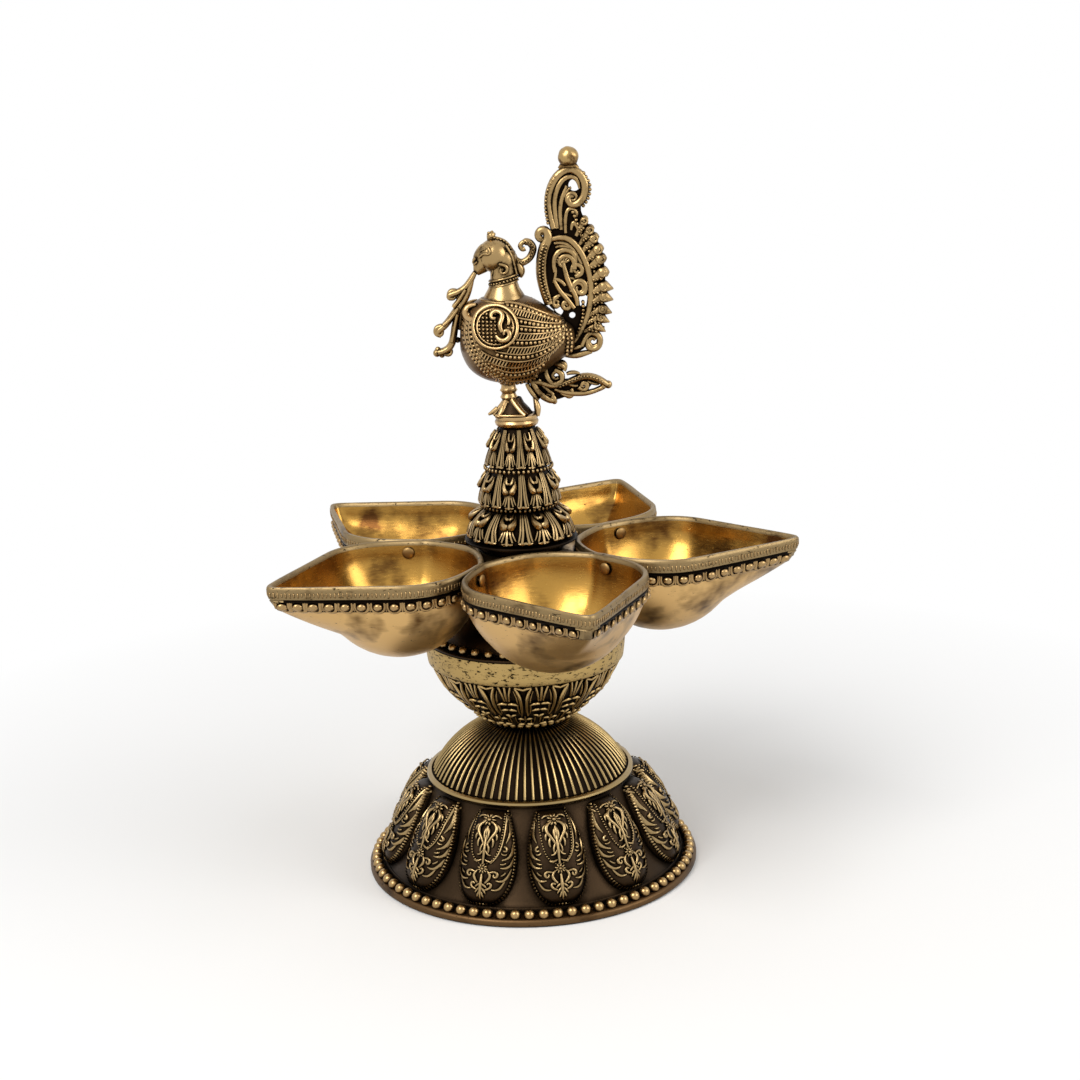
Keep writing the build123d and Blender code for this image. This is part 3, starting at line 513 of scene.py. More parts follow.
def cushion_ornament():
    edge = [(side * arch_half(s / 60) * 0.94, s / 60 * CUSHION_UP) for side in (1, -1) for s in range(1, 60)]
    rim = edge[:59][::-1] + edge[59:]
    border = pearls([(x, y, 0.36, 0.4) for x, y in along(rim, 0.98)])
    oval = eased([(3.7, 27.0), (4.1, 23.0), (3.9, 18.0), (3.1, 14.6), (1.6, 12.6), (0, 11.9)])
    oval += [(-x, y) for x, y in oval[::-1]][1:]
    chain = pearls([(x, y, 0.27, 0.15) for x, y in along(oval, 0.78)])
    frame_line = [[(x * 1.14, y - 0.3, 0.22) for x, y in eased(
        [(3.7, 27.0), (4.1, 23.0), (3.9, 18.0), (3.1, 14.6), (1.8, 12.8)], 1)]]
    spray = both_ways(
        [(0.9, 24.3, 0.3, .3), (2.4, 23.4, 0.55, .3), (2.5, 21.4, 0.5, .3), (1.3, 19.9, 0.42, .3),
         (0.3, 17.6, 0.3, .2)],
        [(2.2, 21.2, 0.2, .2), (3.1, 20.4, 0.5, .2), (2.8, 19.2, 0.15, .1)],
        [(1.4, 20.2, 0.2, .2), (2.4, 18.6, 0.48, .2), (1.9, 17.2, 0.15, .1)],
        [(0.4, 18.4, 0.2, .3), (1.5, 16.6, 0.42, .3), (0.9, 15.2, 0.2, .1)],
        [(1.0, 26.0, 0.2, .2), (2.3, 26.4, 0.42, .2), (3.1, 25.4, 0.15, .1)],
        [(2.6, 23.4, 0.2, .2), (3.4, 22.6, 0.4, .2), (3.3, 21.6, 0.15, .1)],
        [(0.2, 22.4, 0.3, .3), (0.9, 21.0, 0.45, .4), (0.3, 19.2, 0.2, .3)],
        [(0.3, 16.2, 0.2, .3), (1.0, 14.6, 0.4, .3), (1.9, 14.9, 0.15, .1)],
        [(0.5, 13.4, 0.2, .2), (1.6, 12.6, 0.5, .2), (2.6, 13.1, 0.15, .1)])
    stem = [[(0, 20.4, 0.3, .3), (0, 17.0, 0.5, .4), (0, 14.4, 0.35, .3), (0, 12.0, 0.3, .2)],
            [(0, 23.0, 0.3, .3), (0, 21.6, 0.45, .5), (0, 20.4, 0.3, .2)]]
    sides = both_ways(
        [(4.9, 25.4, 0.15), (5.9, 23.0, 0.5), (6.0, 20.4, 0.42), (5.3, 18.6, 0.12)],
        [(6.9, 19.6, 0.12), (7.5, 16.6, 0.55), (6.4, 14.0, 0.5), (4.9, 13.5, 0.15)],
        [(7.7, 15.4, 0.12), (7.6, 12.6, 0.5), (6.1, 11.0, 0.45), (4.7, 11.2, 0.12)],
        [(5.0, 17.6, 0.3), (5.9, 17.2, 0.42), (5.6, 16.0, 0.3), (4.9, 16.4, 0.2)],
        [(7.5, 11.2, 0.12), (6.9, 8.4, 0.5), (5.3, 7.0, 0.45), (3.9, 7.4, 0.12)],
        [(6.4, 8.0, 0.1), (5.6, 5.6, 0.45), (4.2, 4.4, 0.4), (3.0, 4.6, 0.12)],
        [(4.5, 15.6, 0.15), (5.2, 14.9, 0.36), (5.9, 15.4, 0.15)],
        [(4.6, 12.4, 0.15), (5.4, 12.2, 0.36), (6.0, 12.9, 0.15)],
        [(5.1, 8.9, 0.15), (5.8, 9.2, 0.36), (6.2, 10.0, 0.15)],
        [(5.0, 27.2, 0.15), (4.9, 25.9, 0.32), (4.5, 24.8, 0.15)])
    scrolls = both_ways(
        [(1.3, 10.2, 0.25), (2.4, 9.0, 0.42), (2.0, 7.4, 0.45), (1.0, 6.4, 0.3)],
        [(1.6, 9.4, 0.2), (3.4, 10.2, 0.42), (4.4, 9.2, 0.45), (3.8, 8.1, 0.4), (3.0, 8.6, 0.3),
         (3.3, 9.1, 0.3)],
        [(0.5, 4.2, 0.2), (2.1, 4.6, 0.4), (3.0, 5.8, 0.42), (2.3, 6.7, 0.36), (1.7, 6.1, 0.3)])
    leaf = both_ways(
        [(0, 6.2, 0.3, .3), (0.9, 5.9, 0.5, .3), (1.7, 5.0, 0.15, .1)],
        [(0, 5.2, 0.3, .3), (0.9, 4.4, 0.48, .3), (1.6, 3.3, 0.12, .1)],
        [(0, 4.2, 0.3, .3), (0.6, 3.1, 0.42, .3), (1.0, 2.0, 0.12, .1)]) + [
        [(0, 9.0, 0.25, .3), (0, 6.6, 0.5, .5), (0, 4.0, 0.5, .5), (0, 1.3, 0.15, .2)]]
    drawn = stroke(*(frame_line + spray + stem + sides + scrolls + leaf + flower(0, 24.9, 1.75)
                     + flower(0, 10.6, 1.35)))
    hearts = pearls([(0, 24.9, 0.62, 0.45), (0, 10.6, 0.5, 0.4)])
    return bent(joined(border, chain, drawn, hearts), on_cushion)

ornament = cushion_ornament()
finish_piece(copied(ornament, panel_turns), "foot_cushion_ornament", foot_brass, ["foot_skirt"],
             sharp=70, merge=0.001)

# %% [markdown]
# ## The ribbed dome
# Seventy-two thin ribs run up the dome and fade under the bowl. One rib and half a groove on each side are
# pressed into a strip of the dome's wall, which is then copied round and sewn to its neighbours.

# %% Pressed walls, and the dome
RIBS, RIB_HEIGHT = 72, 0.65
RUBBED_SHARE = 0.13  # the polished crest, as a share of one repeat to each side of its middle
def pressed(section, count, across, relief):
    """One repeat of a turned wall with a closed section; relief(share across, point number) is its height."""
    bm = bmesh.new()
    bmesh.ops.create_grid(bm, x_segments=across, y_segments=len(section), size=1)
    def place(x, y, _):
        share, k = (x + 1) / 2, round((y + 1) / 2 * len(section)) % len(section)
        before, here, after = section[k - 1], section[k], section[(k + 1) % len(section)]
        dr, dz = after[0] - before[0], after[1] - before[1]
        out = relief(share, k) / max(hypot(dr, dz), 1e-6)
        r, z, turn = here[0] + out * dz, here[1] - out * dr, (share - 0.5) * 2 * pi / count
        return Vector((r * sin(turn), -r * cos(turn), z))
    bent(bm, place)
    bm.faces.ensure_lookup_table()
    for i, face in enumerate(bm.faces):
        face.material_index = 0 if abs((i % across + 0.5) / across - 0.5) < RUBBED_SHARE else 1
    return bm

def ribbed_dome():
    face = eased([(29.3, 29.7), (28.4, 31.6), (25.6, 35.7), (21.8, 39.6), (17.4, 42.8), (13.4, 44.8),
                  (11.4, 45.6)])
    under = [(9.0, 45.5), (9.0, 43.2), (15.6, 41.0), (22.6, 35.4), (26.6, 29.8)]
    def rib(share, k):
        if not 1 < k < len(face) - 1:
            return 0.0
        ridge = max(0.0, 1 - (abs(share - 0.5) / 0.2) ** 2)
        return RIB_HEIGHT * ridge ** 0.7 * face[k][0] / 29.0
    return copied(pressed(face + under, RIBS, 12, rib), ring(RIBS, 1.2))

finish_piece(ribbed_dome(), "dome_ribs", [dome_brass, groove_brass], ["ribbed_dome"],
             merge=0.01)

# %% [markdown]
# ## The lotus bowl
# The bowl is turned, with a plain filed band at its brim. Sixteen fluted uprights open like tulips under
# the band, and brackets of small leaves are stacked between them. A row of pearls closes the neck.

# %% Lotus bowl: wall and band
BOWL = eased([(10.4, 45.9), (12.6, 47.4), (15.5, 49.5), (19.8, 53.2), (23.4, 57.4), (26.0, 61.4),
              (27.9, 65.6)])
def bowl_wall():
    inside = [(26.2, 66.0), (21.6, 57.6), (14.4, 50.4), (4.2, 48.4), (4.2, 45.7)]
    return spun(BOWL + inside, 96)

def bowl_band():
    line = [(27.6, 65.2), (28.9, 65.3), (29.5, 65.9), (29.75, 67.6), (30.0, 69.8), (30.2, 71.8),
            (30.1, 72.6), (29.4, 72.75), (28.4, 72.7), (27.9, 72.0)]
    return spun(line, 120)

finish_piece(bowl_wall(), "bowl_wall", ground_brass, ["lotus_bowl"])
finish_piece(bowl_band(), "bowl_band", band_brass, ["lotus_bowl"])

# %% Lotus bowl: uprights, brackets and pearls
UPRIGHTS, DRAWN_AT = 16, 29.0  # the repeat is drawn as wide as it is at this radius
def bowl_ornament():
    half = pi * DRAWN_AT / UPRIGHTS
    upright = both_ways(
        [(1.3, 12.6, 0.3, .2), (0.85, 15.6, 0.55, .4), (0.9, 19.6, 0.62, .5), (1.25, 23.4, 0.6, .6),
         (2.5, 26.2, 0.42, .7)],
        [(2.5, 26.3, 0.45, .6), (1.4, 26.0, 0.55, .7), (0.0, 25.3, 0.4, .6)],
        [(1.6, 12.8, 0.2, 0), (2.3, 14.6, 0.45, .1), (2.2, 17.6, 0.5, .1), (2.0, 21.6, 0.42, .1),
         (3.1, 24.6, 0.2, .1)])
    between = [[(0, 20.6, 0.4, .2), (0, 23.4, 0.5, .3), (0, 26.4, 0.42, .4)]] + both_ways(
        [(0.8, 20.4, 0.35, .2), (1.0, 23.2, 0.5, .3), (1.9, 26.4, 0.4, .4)],
        [(0.4, 19.2, 0.35, .5), (1.9, 20.2, 0.62, .9), (3.6, 18.9, 0.2, .7)],
        [(0.3, 16.4, 0.35, .5), (1.5, 17.2, 0.6, .9), (2.8, 16.0, 0.2, .6)],
        [(0.1, 12.4, 0.5, .4), (0.9, 13.6, 0.5, .6), (2.0, 13.2, 0.2, .4)],
        [(1.4, 11.4, 0.2, .1), (1.0, 9.0, 0.5, .2), (1.7, 6.6, 0.25, .1)])
    between = [[(p[0] + half, *p[1:]) for p in line] for line in between]
    low = [[(0, 12.4, 0.3, .2), (0, 10.6, 0.6, .4), (0, 8.6, 0.35, .3)]] + both_ways(
        [(0.3, 10.2, 0.4, .3), (1.7, 11.4, 0.62, .5), (3.3, 10.4, 0.2, .3)],
        [(0.4, 6.6, 0.45, .4), (2.3, 7.6, 0.8, .8), (4.2, 6.2, 0.25, .5)],
        [(2.6, 9.6, 0.2, .1), (3.2, 7.8, 0.5, .1), (2.4, 5.0, 0.3, .1)])
    return bent(stroke(*(upright + between + low)), on_wall(BOWL, DRAWN_AT))

def neck_pearls():
    return copied(pearl(1.15, 2), [turn @ Matrix.Translation((0, -12.5, 47.7)) for turn in ring(34)])

finish_piece(copied(bowl_ornament(), ring(UPRIGHTS, -2.5), neck_pearls()), "bowl_ornament", bowl_brass,
             ["lotus_bowl"], sharp=70, merge=0.001)
print("bowl wall length in mm:", round(on_wall(BOWL).length, 1))

# %% [markdown]
# ## The bowl's cover
# The cover closes the bowl and carries the hub. Only its rim shows between the cups, with forty cast beads
# on it.

# %% Bowl cover
def bowl_cover():
    top = eased([(30.0, 72.85), (30.0, 73.3), (29.4, 73.5), (26.4, 73.6), (25.8, 74.0), (23.6, 76.8),
                 (20.0, 79.6), (13.5, 84.4)])
    return spun(top + [(3.3, 84.4), (3.3, 82.2), (12.6, 82.0), (19.0, 77.2), (24.0, 72.9)], 96)

def cover_beads():
    bead = bmesh.new()
    bmesh.ops.create_uvsphere(bead, u_segments=12, v_segments=8, radius=1.3)
    bmesh.ops.translate(bead, verts=bead.verts, vec=(0, -27.9, 74.4))
    return copied(bead, ring(40, 4.5))

finish_piece(bowl_cover(), "cover_shell", ground_brass, ["bowl_cover"])
finish_piece(cover_beads(), "bowl_cover_beads", bead_brass, ["bowl_cover"])

# %% [markdown]
# ## An oil cup
# Each cup is one casting: a half ball whose brim is drawn out into a spout for the wick. Its plan is a few
# points from the heel round the lobe to the tip. The sheet is bent to that plan, row by row: low rows are
# circles of the ball, and above them the spout grows out along its keel. The same rows, a wall's thickness
# in, make the inside.

# %% Oil cup: plan and section
TOUCH = radians(36)
def touch_point(s):
    return (s * cos(TOUCH) + 0.3 * sin(TOUCH), s * sin(TOUCH) - 0.3 * cos(TOUCH))

PLAN = [(16.4, 0), (16.9, 3.6), (18.9, 9.4), touch_point(27.5), touch_point(31), touch_point(35),
        (33.4, 23.2), (38, 25.0), (43.0, 25.6), (47.4, 25.1), (51.4, 23.5), (55.2, 20.9), (59.4, 17.8),
        (65.8, 13.1), (72.4, 8.4), (77.6, 4.4), (80.8, 1.6), (81.5, 0)]
PLAN = eased(PLAN, 3)
PLAN = PLAN + [(u, -v) for u, v in PLAN[-2:0:-1]]
CUP_OUT = 41.0  # from the lamp's axis to the middle of the cup's ball
BALL_R, BALL_Z, RIM_Z = 23.7, 98.0, 101.6
BAND_LOW = 94.2

def ball_reach(z, wall=0.0):
    return sqrt(max((BALL_R - wall) ** 2 - max(BALL_Z - z, 0) ** 2, 0.0))

def spout_share(z):
    """How far the spout has grown out at a height: a straight keel that turns up at the tip."""
    low = max((z - 83.6) / 12.0, 0.0)
    return min(low, 1.0) * 0.955 + 0.045 * min(max((z - 96.6) / 4.0, 0), 1) if z > 83.6 else 0.0

def cup_point(u, v, z, wall=0.0, out=0.0):
    """A point of the cup's wall over the plan point (u, v) at height z."""
    across, full = u - CUP_OUT, hypot(u - CUP_OUT, v)
    ball = ball_reach(z, wall)
    grown = ball + (full - wall * (1.0 if full < 30 else 1.25) - (BALL_R - wall)) * spout_share(z)
    if full < BALL_R:
        grown = min(ball, full - wall)
    r = max(grown, 0.0) + out
    return Vector((CUP_OUT + across / full * r, v / full * r, z))

def rim_height(u, v):
    """The brim stands highest round the lobe and comes down a little along the spout."""
    return RIM_Z + 0.2 * (1 - min(max((u - 44) / 30, 0.0), 1.0) ** 1.5)

# %% Oil cup: the sheet
def cup_sheet():
    outer = [74.3 + (84.0 - 74.3) * (i / 8) ** 1.6 for i in range(9)] + [
        85.6, 87.2, 88.8, 90.4, 92.0, 93.4, BAND_LOW]
    rows = [(z, 0.0, 0.0) for z in outer] + [
        (BAND_LOW + 0.15, 0.0, 0.3), (97.4, 0.0, 0.35), (97.6, 0.0, 0.1), (97.9, 0.0, 0.1),
        (98.1, 0.0, 0.45), (100.6, 0.0, 0.45), (101.3, 0.0, 0.3), (101.6, 0.0, 0.0)]
    rows += [(101.6, 0.7, 0.0), (101.3, 1.1, 0.0), (100.4, 1.3, 0.0)]
    rows += [(98.0, 1.5, 0.0), (95.4, 1.8, 0.0), (93.0, 2.0, 0.0), (91.0, 2.1, 0.0), (89.0, 2.1, 0.0),
             (87.0, 2.1, 0.0), (85.4, 2.1, 0.0)]
    rows += [(76.4 + (84.0 - 76.4) * (i / 7) ** 1.6, 2.1, 0.0) for i in range(7, -1, -1)]
    bm = bmesh.new()
    bmesh.ops.create_grid(bm, x_segments=len(PLAN), y_segments=len(rows) - 1, size=1)
    def place(x, y, _):
        u, v = PLAN[round((x + 1) / 2 * len(PLAN)) % len(PLAN)]
        z, wall, out = rows[round((y + 1) / 2 * (len(rows) - 1))]
        if z > 97:
            z = 97 + (z - 97) * (rim_height(u, v) - 97) / (RIM_Z - 97)
        return cup_point(u, v, z, wall, out)
    return bent(bm, place)

PETAL_ROW, STRIP_ROW, INSIDE_ROW = 15, 20, 26  # rows of the sheet, counted from the ball's foot
PETALS_END = 79.0                              # beyond this the spout's tip has no petals
def cup_shell():
    """The sheet: satin below, black behind the petals, a hammered strip and rim, and polished inside."""
    bm = cup_sheet()
    bm.faces.ensure_lookup_table()
    for i, face in enumerate(bm.faces):
        row = i // len(PLAN)
        if row >= INSIDE_ROW:
            face.material_index = 1
        elif row >= STRIP_ROW:
            face.material_index = 2
        elif row >= PETAL_ROW:
            face.material_index = 3 if face.calc_center_median().x < PETALS_END else 2
    return bm

# %% [markdown]
# ### The cup's border
# Under the rim runs a hammered strip with small upright nicks, and below it a row of round petals, each
# with a bead in it, over a scalloped edge. The row follows the plan all round, on to the spout's tip.

# %% Oil cup: border
def cup_border():
    spots = along(PLAN + PLAN[:1], 4.55, 2.0)
    seed = joined(
        pearls([(0, -0.1, 1.35, 0.3)], 2),
        stroke([(-1.8, 1.4, 0.35), (-1.95, -0.4, 0.5), (-1.2, -1.8, 0.52), (0, -2.25, 0.52),
                (1.2, -1.8, 0.52), (1.95, -0.4, 0.5), (1.8, 1.4, 0.35)], smooth=2),
        stroke([(2.28, -1.9, 0.25), (2.28, 0.2, 0.4), (2.28, 1.5, 0.25)], smooth=2))
    bm = bmesh.new()
    for u, v in spots:
        if u > 80.6:
            continue
        start = len(bm.verts)
        copied(seed, [Matrix()], bm)
        bm.verts.ensure_lookup_table()
        nearest = min(range(len(PLAN)), key=lambda i: hypot(PLAN[i][0] - u, PLAN[i][1] - v))
        a, b = PLAN[nearest - 1], PLAN[(nearest + 1) % len(PLAN)]
        run = Vector((b[0] - a[0], b[1] - a[1])).normalized()
        for vert in bm.verts[start:]:
            x, y, z = vert.co
            pu, pv = u + run.x * x, v + run.y * x
            vert.co = cup_point(pu, pv, 95.9 + y * 0.85, 0.0, 0.1 + z * 0.75)
    return bm

def nicks():
    """Small upright dents along the strip, uneven as a punch leaves them."""
    random.seed(4)
    bm = bmesh.new()
    seed = pearl(1)
    for u, v in along(PLAN + PLAN[:1], 1.15, 0.4):
        start = len(bm.verts)
        copied(seed, [Matrix()], bm)
        bm.verts.ensure_lookup_table()
        wide, tall = random.uniform(0.2, 0.42), random.uniform(0.7, 1.25)
        away = Vector((u - CUP_OUT, v)).normalized()
        for vert in bm.verts[start:]:
            x, y, z = vert.co
            vert.co = cup_point(u - away.y * x * wide, v + away.x * x * wide, 99.4 + y * tall, 0.0,
                                0.4 + z * 0.28)
    return bm

cup = cup_shell()
border = joined(cup_border(), nicks())
border_brass = antique_brass("brass_cup_border_blackened", "#A88A5E", "#5A4227", "#150E07", reach=1.3,
                             patch=0.35)
strip_brass = worked_brass("brass_cup_strip_hammered", "#8E7854", "#4A3822", "#120C06", 0.36, 0.44, 0.35, 0.4,
                           0.9)
CUPS = 5
for i in range(CUPS):
    turn = Matrix.Rotation(radians(12 + 360 / CUPS * i - 90), 4, "Z")
    node = f"oil_cup_{i + 1}"
    finish_piece(copied(cup, [turn]), f"cup_{i + 1}", [cup_outside, cup_inside, strip_brass, groove_brass],
                 [node], merge=0.003)
    finish_piece(copied(border, [turn]), f"cup_border_{i + 1}", border_brass, [node], sharp=70,
                 merge=0.001)

# %% [markdown]
# ## Hub and rivets
# The hub that the cups are seated in keeps its solid and gets the cast finish. A rivet with two low domed
# heads goes through each pair of neighbouring cups.

# %% Hub, rivets and rod
def rivets():
    pin = spun([(0, -2.8), (1.0, -2.8), (1.0, 2.8), (0, 2.8)], 12)
    head = bmesh.new()
    bmesh.ops.create_uvsphere(head, u_segments=16, v_segments=10, radius=1.8)
    bmesh.ops.scale(head, verts=head.verts, vec=(1, 1, 0.3))
    one = copied(head, [Matrix.Translation((0, 0, 2.5)), Matrix.Translation((0, 0, -2.5))], pin)
    seat = Matrix.Translation((0, -33.8, 98.4)) @ Matrix.Rotation(pi / 2, 4, "Y")
    bmesh.ops.transform(one, verts=one.verts, matrix=seat)
    return copied(one, ring(CUPS, 48))

finish_piece(rivets(), "rivets", rod_brass, ["cup_rivets"])
for node, metal in {"cup_hub": bird_brass, "tie_rod": rod_brass, "tie_washer": rod_brass,
                    "tie_nut": rod_brass, "bird_stud": rod_brass}.items():
    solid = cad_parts[node]
    solid.data.materials.clear()
    solid.data.materials.append(metal)

# %% [markdown]
# ## The leaf column
# Three bells of hanging leaves stand on a thin plate. Each bell has nine fluted straps, and between them
# nine two-lobed acanthus leaves over a stem. The leaves are drawn once per bell, in shares of one repeat,
# and bent on.

# %% Leaf column: core, leaves and bead rings
LEAVES = 9  # in each tier
TIERS = [[(16.0, 103.6), (15.3, 106.6), (14.2, 108.8), (11.6, 111.6), (10.1, 112.7)],
         [(12.1, 113.5), (11.9, 115.6), (11.4, 118.0), (10.6, 120.8), (9.5, 123.7)],
         [(9.8, 124.7), (9.3, 127.0), (8.4, 130.0), (7.4, 133.2), (6.2, 136.2)]]
TIERS = [eased(tier, 3) for tier in TIERS]

def column_core():
    section = [(0, 99.6), (12.2, 99.6), (12.2, 102.2), (16.6, 102.2), (16.8, 102.6), (16.6, 103.0),
               (13.0, 103.1)]
    for tier in TIERS:
        section += [(r - 1.15, z) for r, z in tier]
    return spun(section + [(0, 136.2)], 72)

def tier_leaves(tier, depth):
    place = on_wall(tier, tier[0][0])
    pitch, tall = 2 * pi * tier[0][0] / LEAVES, on_wall(tier).length
    def drawn(line):
        return [(x * pitch, y * tall, r * depth, lift - 0.55) for x, y, r, lift in line]
    strap = both_ways(
        [(0.035, 0.98, 0.3, 0), (0.045, 0.6, 0.42, .1), (0.06, 0.25, 0.45, .2), (0.1, 0.06, 0.5, .35)],
        [(0.1, 0.98, 0.22, 0), (0.12, 0.6, 0.36, .05), (0.13, 0.3, 0.36, .1), (0.19, 0.1, 0.3, .2)],
        [(0.0, 0.09, 0.4, .4), (0.09, 0.03, 0.5, .5), (0.19, 0.07, 0.25, .3)])
    leaf = both_ways(
        [(0.02, 0.72, 0.42, .6), (0.07, 0.69, 0.5, .8), (0.13, 0.77, 0.5, .7), (0.14, 0.9, 0.2, .4)],
        [(0.02, 0.5, 0.6, .6), (0.09, 0.46, 0.85, 1.0), (0.18, 0.55, 0.8, .9), (0.23, 0.72, 0.45, .5),
         (0.2, 0.88, 0.2, .2)],
        [(0.05, 0.46, 0.3, .2), (0.08, 0.28, 0.4, .3), (0.15, 0.1, 0.3, .3)],
        [(0.12, 0.42, 0.2, .1), (0.17, 0.26, 0.34, .2), (0.24, 0.14, 0.2, .2)],
        [(0.0, 0.08, 0.4, .4), (0.08, 0.01, 0.5, .5), (0.15, 0.06, 0.2, .3)]) + [
        [(0.0, 0.46, 0.3, .3), (0.0, 0.26, 0.45, .4), (0.0, 0.02, 0.45, .5)]]
    leaf = [[(x + 0.5, *rest) for x, *rest in line] for line in leaf]
    return bent(stroke(*[drawn(line) for line in strap + leaf]), place)

def column_leaves():
    bm = bmesh.new()
    for tier, depth in zip(TIERS, (1.3, 1.1, 0.95)):
        copied(tier_leaves(tier, depth), ring(LEAVES, 4.5), bm)
    seed = pearl(0.6)
    for radius, z, count in ((11.2, 113.0, 50), (9.9, 124.2, 44)):
        place = Matrix.Translation((0, -radius, z)) @ Matrix.Diagonal((0.8, 0.9, 1.25, 1))
        copied(seed, [turn @ place for turn in ring(count)], bm)
    return bm

finish_piece(column_core(), "column_core", groove_brass, ["leaf_column"])
finish_piece(column_leaves(), "column_leaves", column_brass, ["leaf_column"], sharp=60,
             merge=0.001)

# %% [markdown]
# ## The perch and the leg
# The finial stands on a split collar with a claw in front and a leaf behind. The leg has two turned rings.
# All of the bird's pieces ride on its own body, because the finial unscrews.

# %% Perch collar and leg
def beside(x, z, out):
    """A drawing in the bird's profile plane: across, height, and out towards the front."""
    return Vector((x, -out, z))

def perch_collar():
    band = spun([(2.3, 136.4), (5.8, 136.4), (6.25, 136.8), (6.45, 137.6), (6.1, 138.3), (6.35, 139.0),
                 (6.2, 139.6), (5.2, 139.9), (2.3, 139.7)], 48)
    toes = []
    for turn in (-38, 0, 38):
        s, c = sin(radians(turn)), cos(radians(turn))
        toes.append([(-6.6 * c, 139.4, 0.8, 6.2 * s), (-5.2 * c, 141.0, 0.95, 4.8 * s),
                     (-3.4, 142.8, 1.05, 2.4 * s), (-2.2, 144.6, 1.2, 0.8 * s)])
    toes += [[(-8.2, 139.7, 0.35, 0), (-7.0, 140.3, 0.7, 0), (-5.4, 141.4, 0.9, 0)],
             [(2.6, 139.8, 1.0, 5.0), (0.6, 141.4, 1.0, 3.6), (-1.0, 144.2, 1.1, 1.4)],
             [(2.6, 139.8, 1.0, -5.0), (0.6, 141.4, 1.0, -3.6), (-1.0, 144.2, 1.1, -1.4)],
             [(6.1, 139.0, 0.6, 1.5), (6.4, 140.8, 1.0, 1.2), (6.0, 143.0, 0.8, .6), (5.2, 145.2, 0.3, 0)],
             [(5.9, 139.0, 0.6, -1.5), (6.2, 140.8, 1.0, -1.2), (5.8, 143.0, 0.8, -.6), (5.1, 145.2, 0.3, 0)],
             [(-6.0, 139.9, 0.5, 3.4), (-2.0, 140.1, 0.55, 6.0), (2.4, 139.9, 0.5, 5.2)]]
    cone = dark(spun([(2.0, 139.6), (5.6, 139.6), (4.6, 141.2), (3.0, 143.0), (2.2, 144.6), (2.0, 144.6)],
                     32))
    bmesh.ops.translate(cone, verts=cone.verts, vec=(-0.6, 0, 0))
    return joined(band, cone, bent(stroke(*toes, sides=3, smooth=5), beside))

def bird_leg():
    rings = [(0, 143.4), (2.4, 143.4), (2.0, 143.9), (2.2, 144.3), (2.55, 144.8), (2.2, 145.4),
             (2.0, 145.9), (2.2, 146.3), (2.6, 146.8), (2.2, 147.4), (2.1, 148.4), (2.6, 150.2), (0, 150.6)]
    leg = spun(rings, 32)
    bmesh.ops.translate(leg, verts=leg.verts, vec=(-2.0, 0, 0))
    return leg

finish_piece(perch_collar(), "perch_band", [bird_brass, ground_brass], ["perch_collar"],
             body="bird")
finish_piece(bird_leg(), "leg_rings", bird_brass, ["bird_leg"], body="bird")

# %% [markdown]
# ## The bird's body
# The body is an egg with its blunt end to the left, carried three degrees high. It is spun about its own
# long axis. Feather rows are drawn in profile, as the engraver sees them, and dropped sideways on to the
# egg, once per side.

# %% Body form, and where a side drawing lands on it
BODY = eased([(-15.5, 0.6), (-15.1, 4.4), (-12.6, 9.1), (-8.0, 12.1), (-2.0, 13.1), (4.0, 12.1), (9.0, 9.6),
              (13.4, 6.4), (17.2, 3.6), (17.6, 1.2)], 4)
BODY_TILT = radians(3)
BODY_Z = 162.0

def body_radius(x):
    for (x0, r0), (x1, r1) in zip(BODY, BODY[1:]):
        if x <= x1:
            return r0 + (r1 - r0) * max(x - x0, 0) / max(x1 - x0, 1e-6)
    return BODY[-1][1]

def on_side(x, z, out, lift=0.0):
    """Drops a profile drawing on to the near side of the body."""
    r = body_radius(x) + lift
    rise = z - BODY_Z + x * tan(BODY_TILT)
    rise = max(min(rise, 0.985 * r), -0.985 * r)
    y = sqrt(max(r * r - rise * rise, 0.01))
    return Vector((x, -y - out * y / r, BODY_Z + rise * (1 + out / r) - x * tan(BODY_TILT)))

def bird_body():
    egg = spun([(r, x) for x, r in BODY], 48)
    lying = Matrix.Rotation(pi / 2 + BODY_TILT, 4, "Y")
    bmesh.ops.transform(egg, verts=egg.verts, matrix=Matrix.Translation((0, 0, BODY_Z)) @ lying)
    return egg

def mirrored(bm):
    """The drawing on the near side and again on the far side."""
    return copied(bm, [Matrix(), Matrix.Scale(-1, 4, (0, 1, 0))])

def row(line, gap, mark, tall=0.0, lean=0.0, lift=0.2):
    """Marks along a drawn line: pearls of a radius, or short strokes across it when tall is given."""
    spots = along([(x, z) for x, z in line], gap, gap / 2)
    if not tall:
        return pearls([(x, z, mark, lift) for x, z in spots])
    return stroke(*[[(x - lean * tall, z - tall / 2, mark * 0.7, lift), (x, z, mark, lift),
                     (x + lean * tall, z + tall / 2, mark * 0.6, lift)]
                    for x, z in spots], smooth=1)

def ridge(line, radius=0.24, lift=0.15):
    return stroke([(x, z, radius, lift) for x, z in line], smooth=2)

# %% Body: breast and belly rows
def crescent():
    """The plain collar that lies between the breast and the medallion."""
    return stroke([(-10.2, 172.6, 0.5, 4.2), (-12.0, 172.3, 0.9, 2.8), (-13.5, 171.0, 1.1, 2.6),
                   (-13.4, 169.4, 1.15, 4.0), (-12.0, 168.4, 1.0, 7.2), (-9.8, 168.8, 0.6, 9.2)], sides=3)

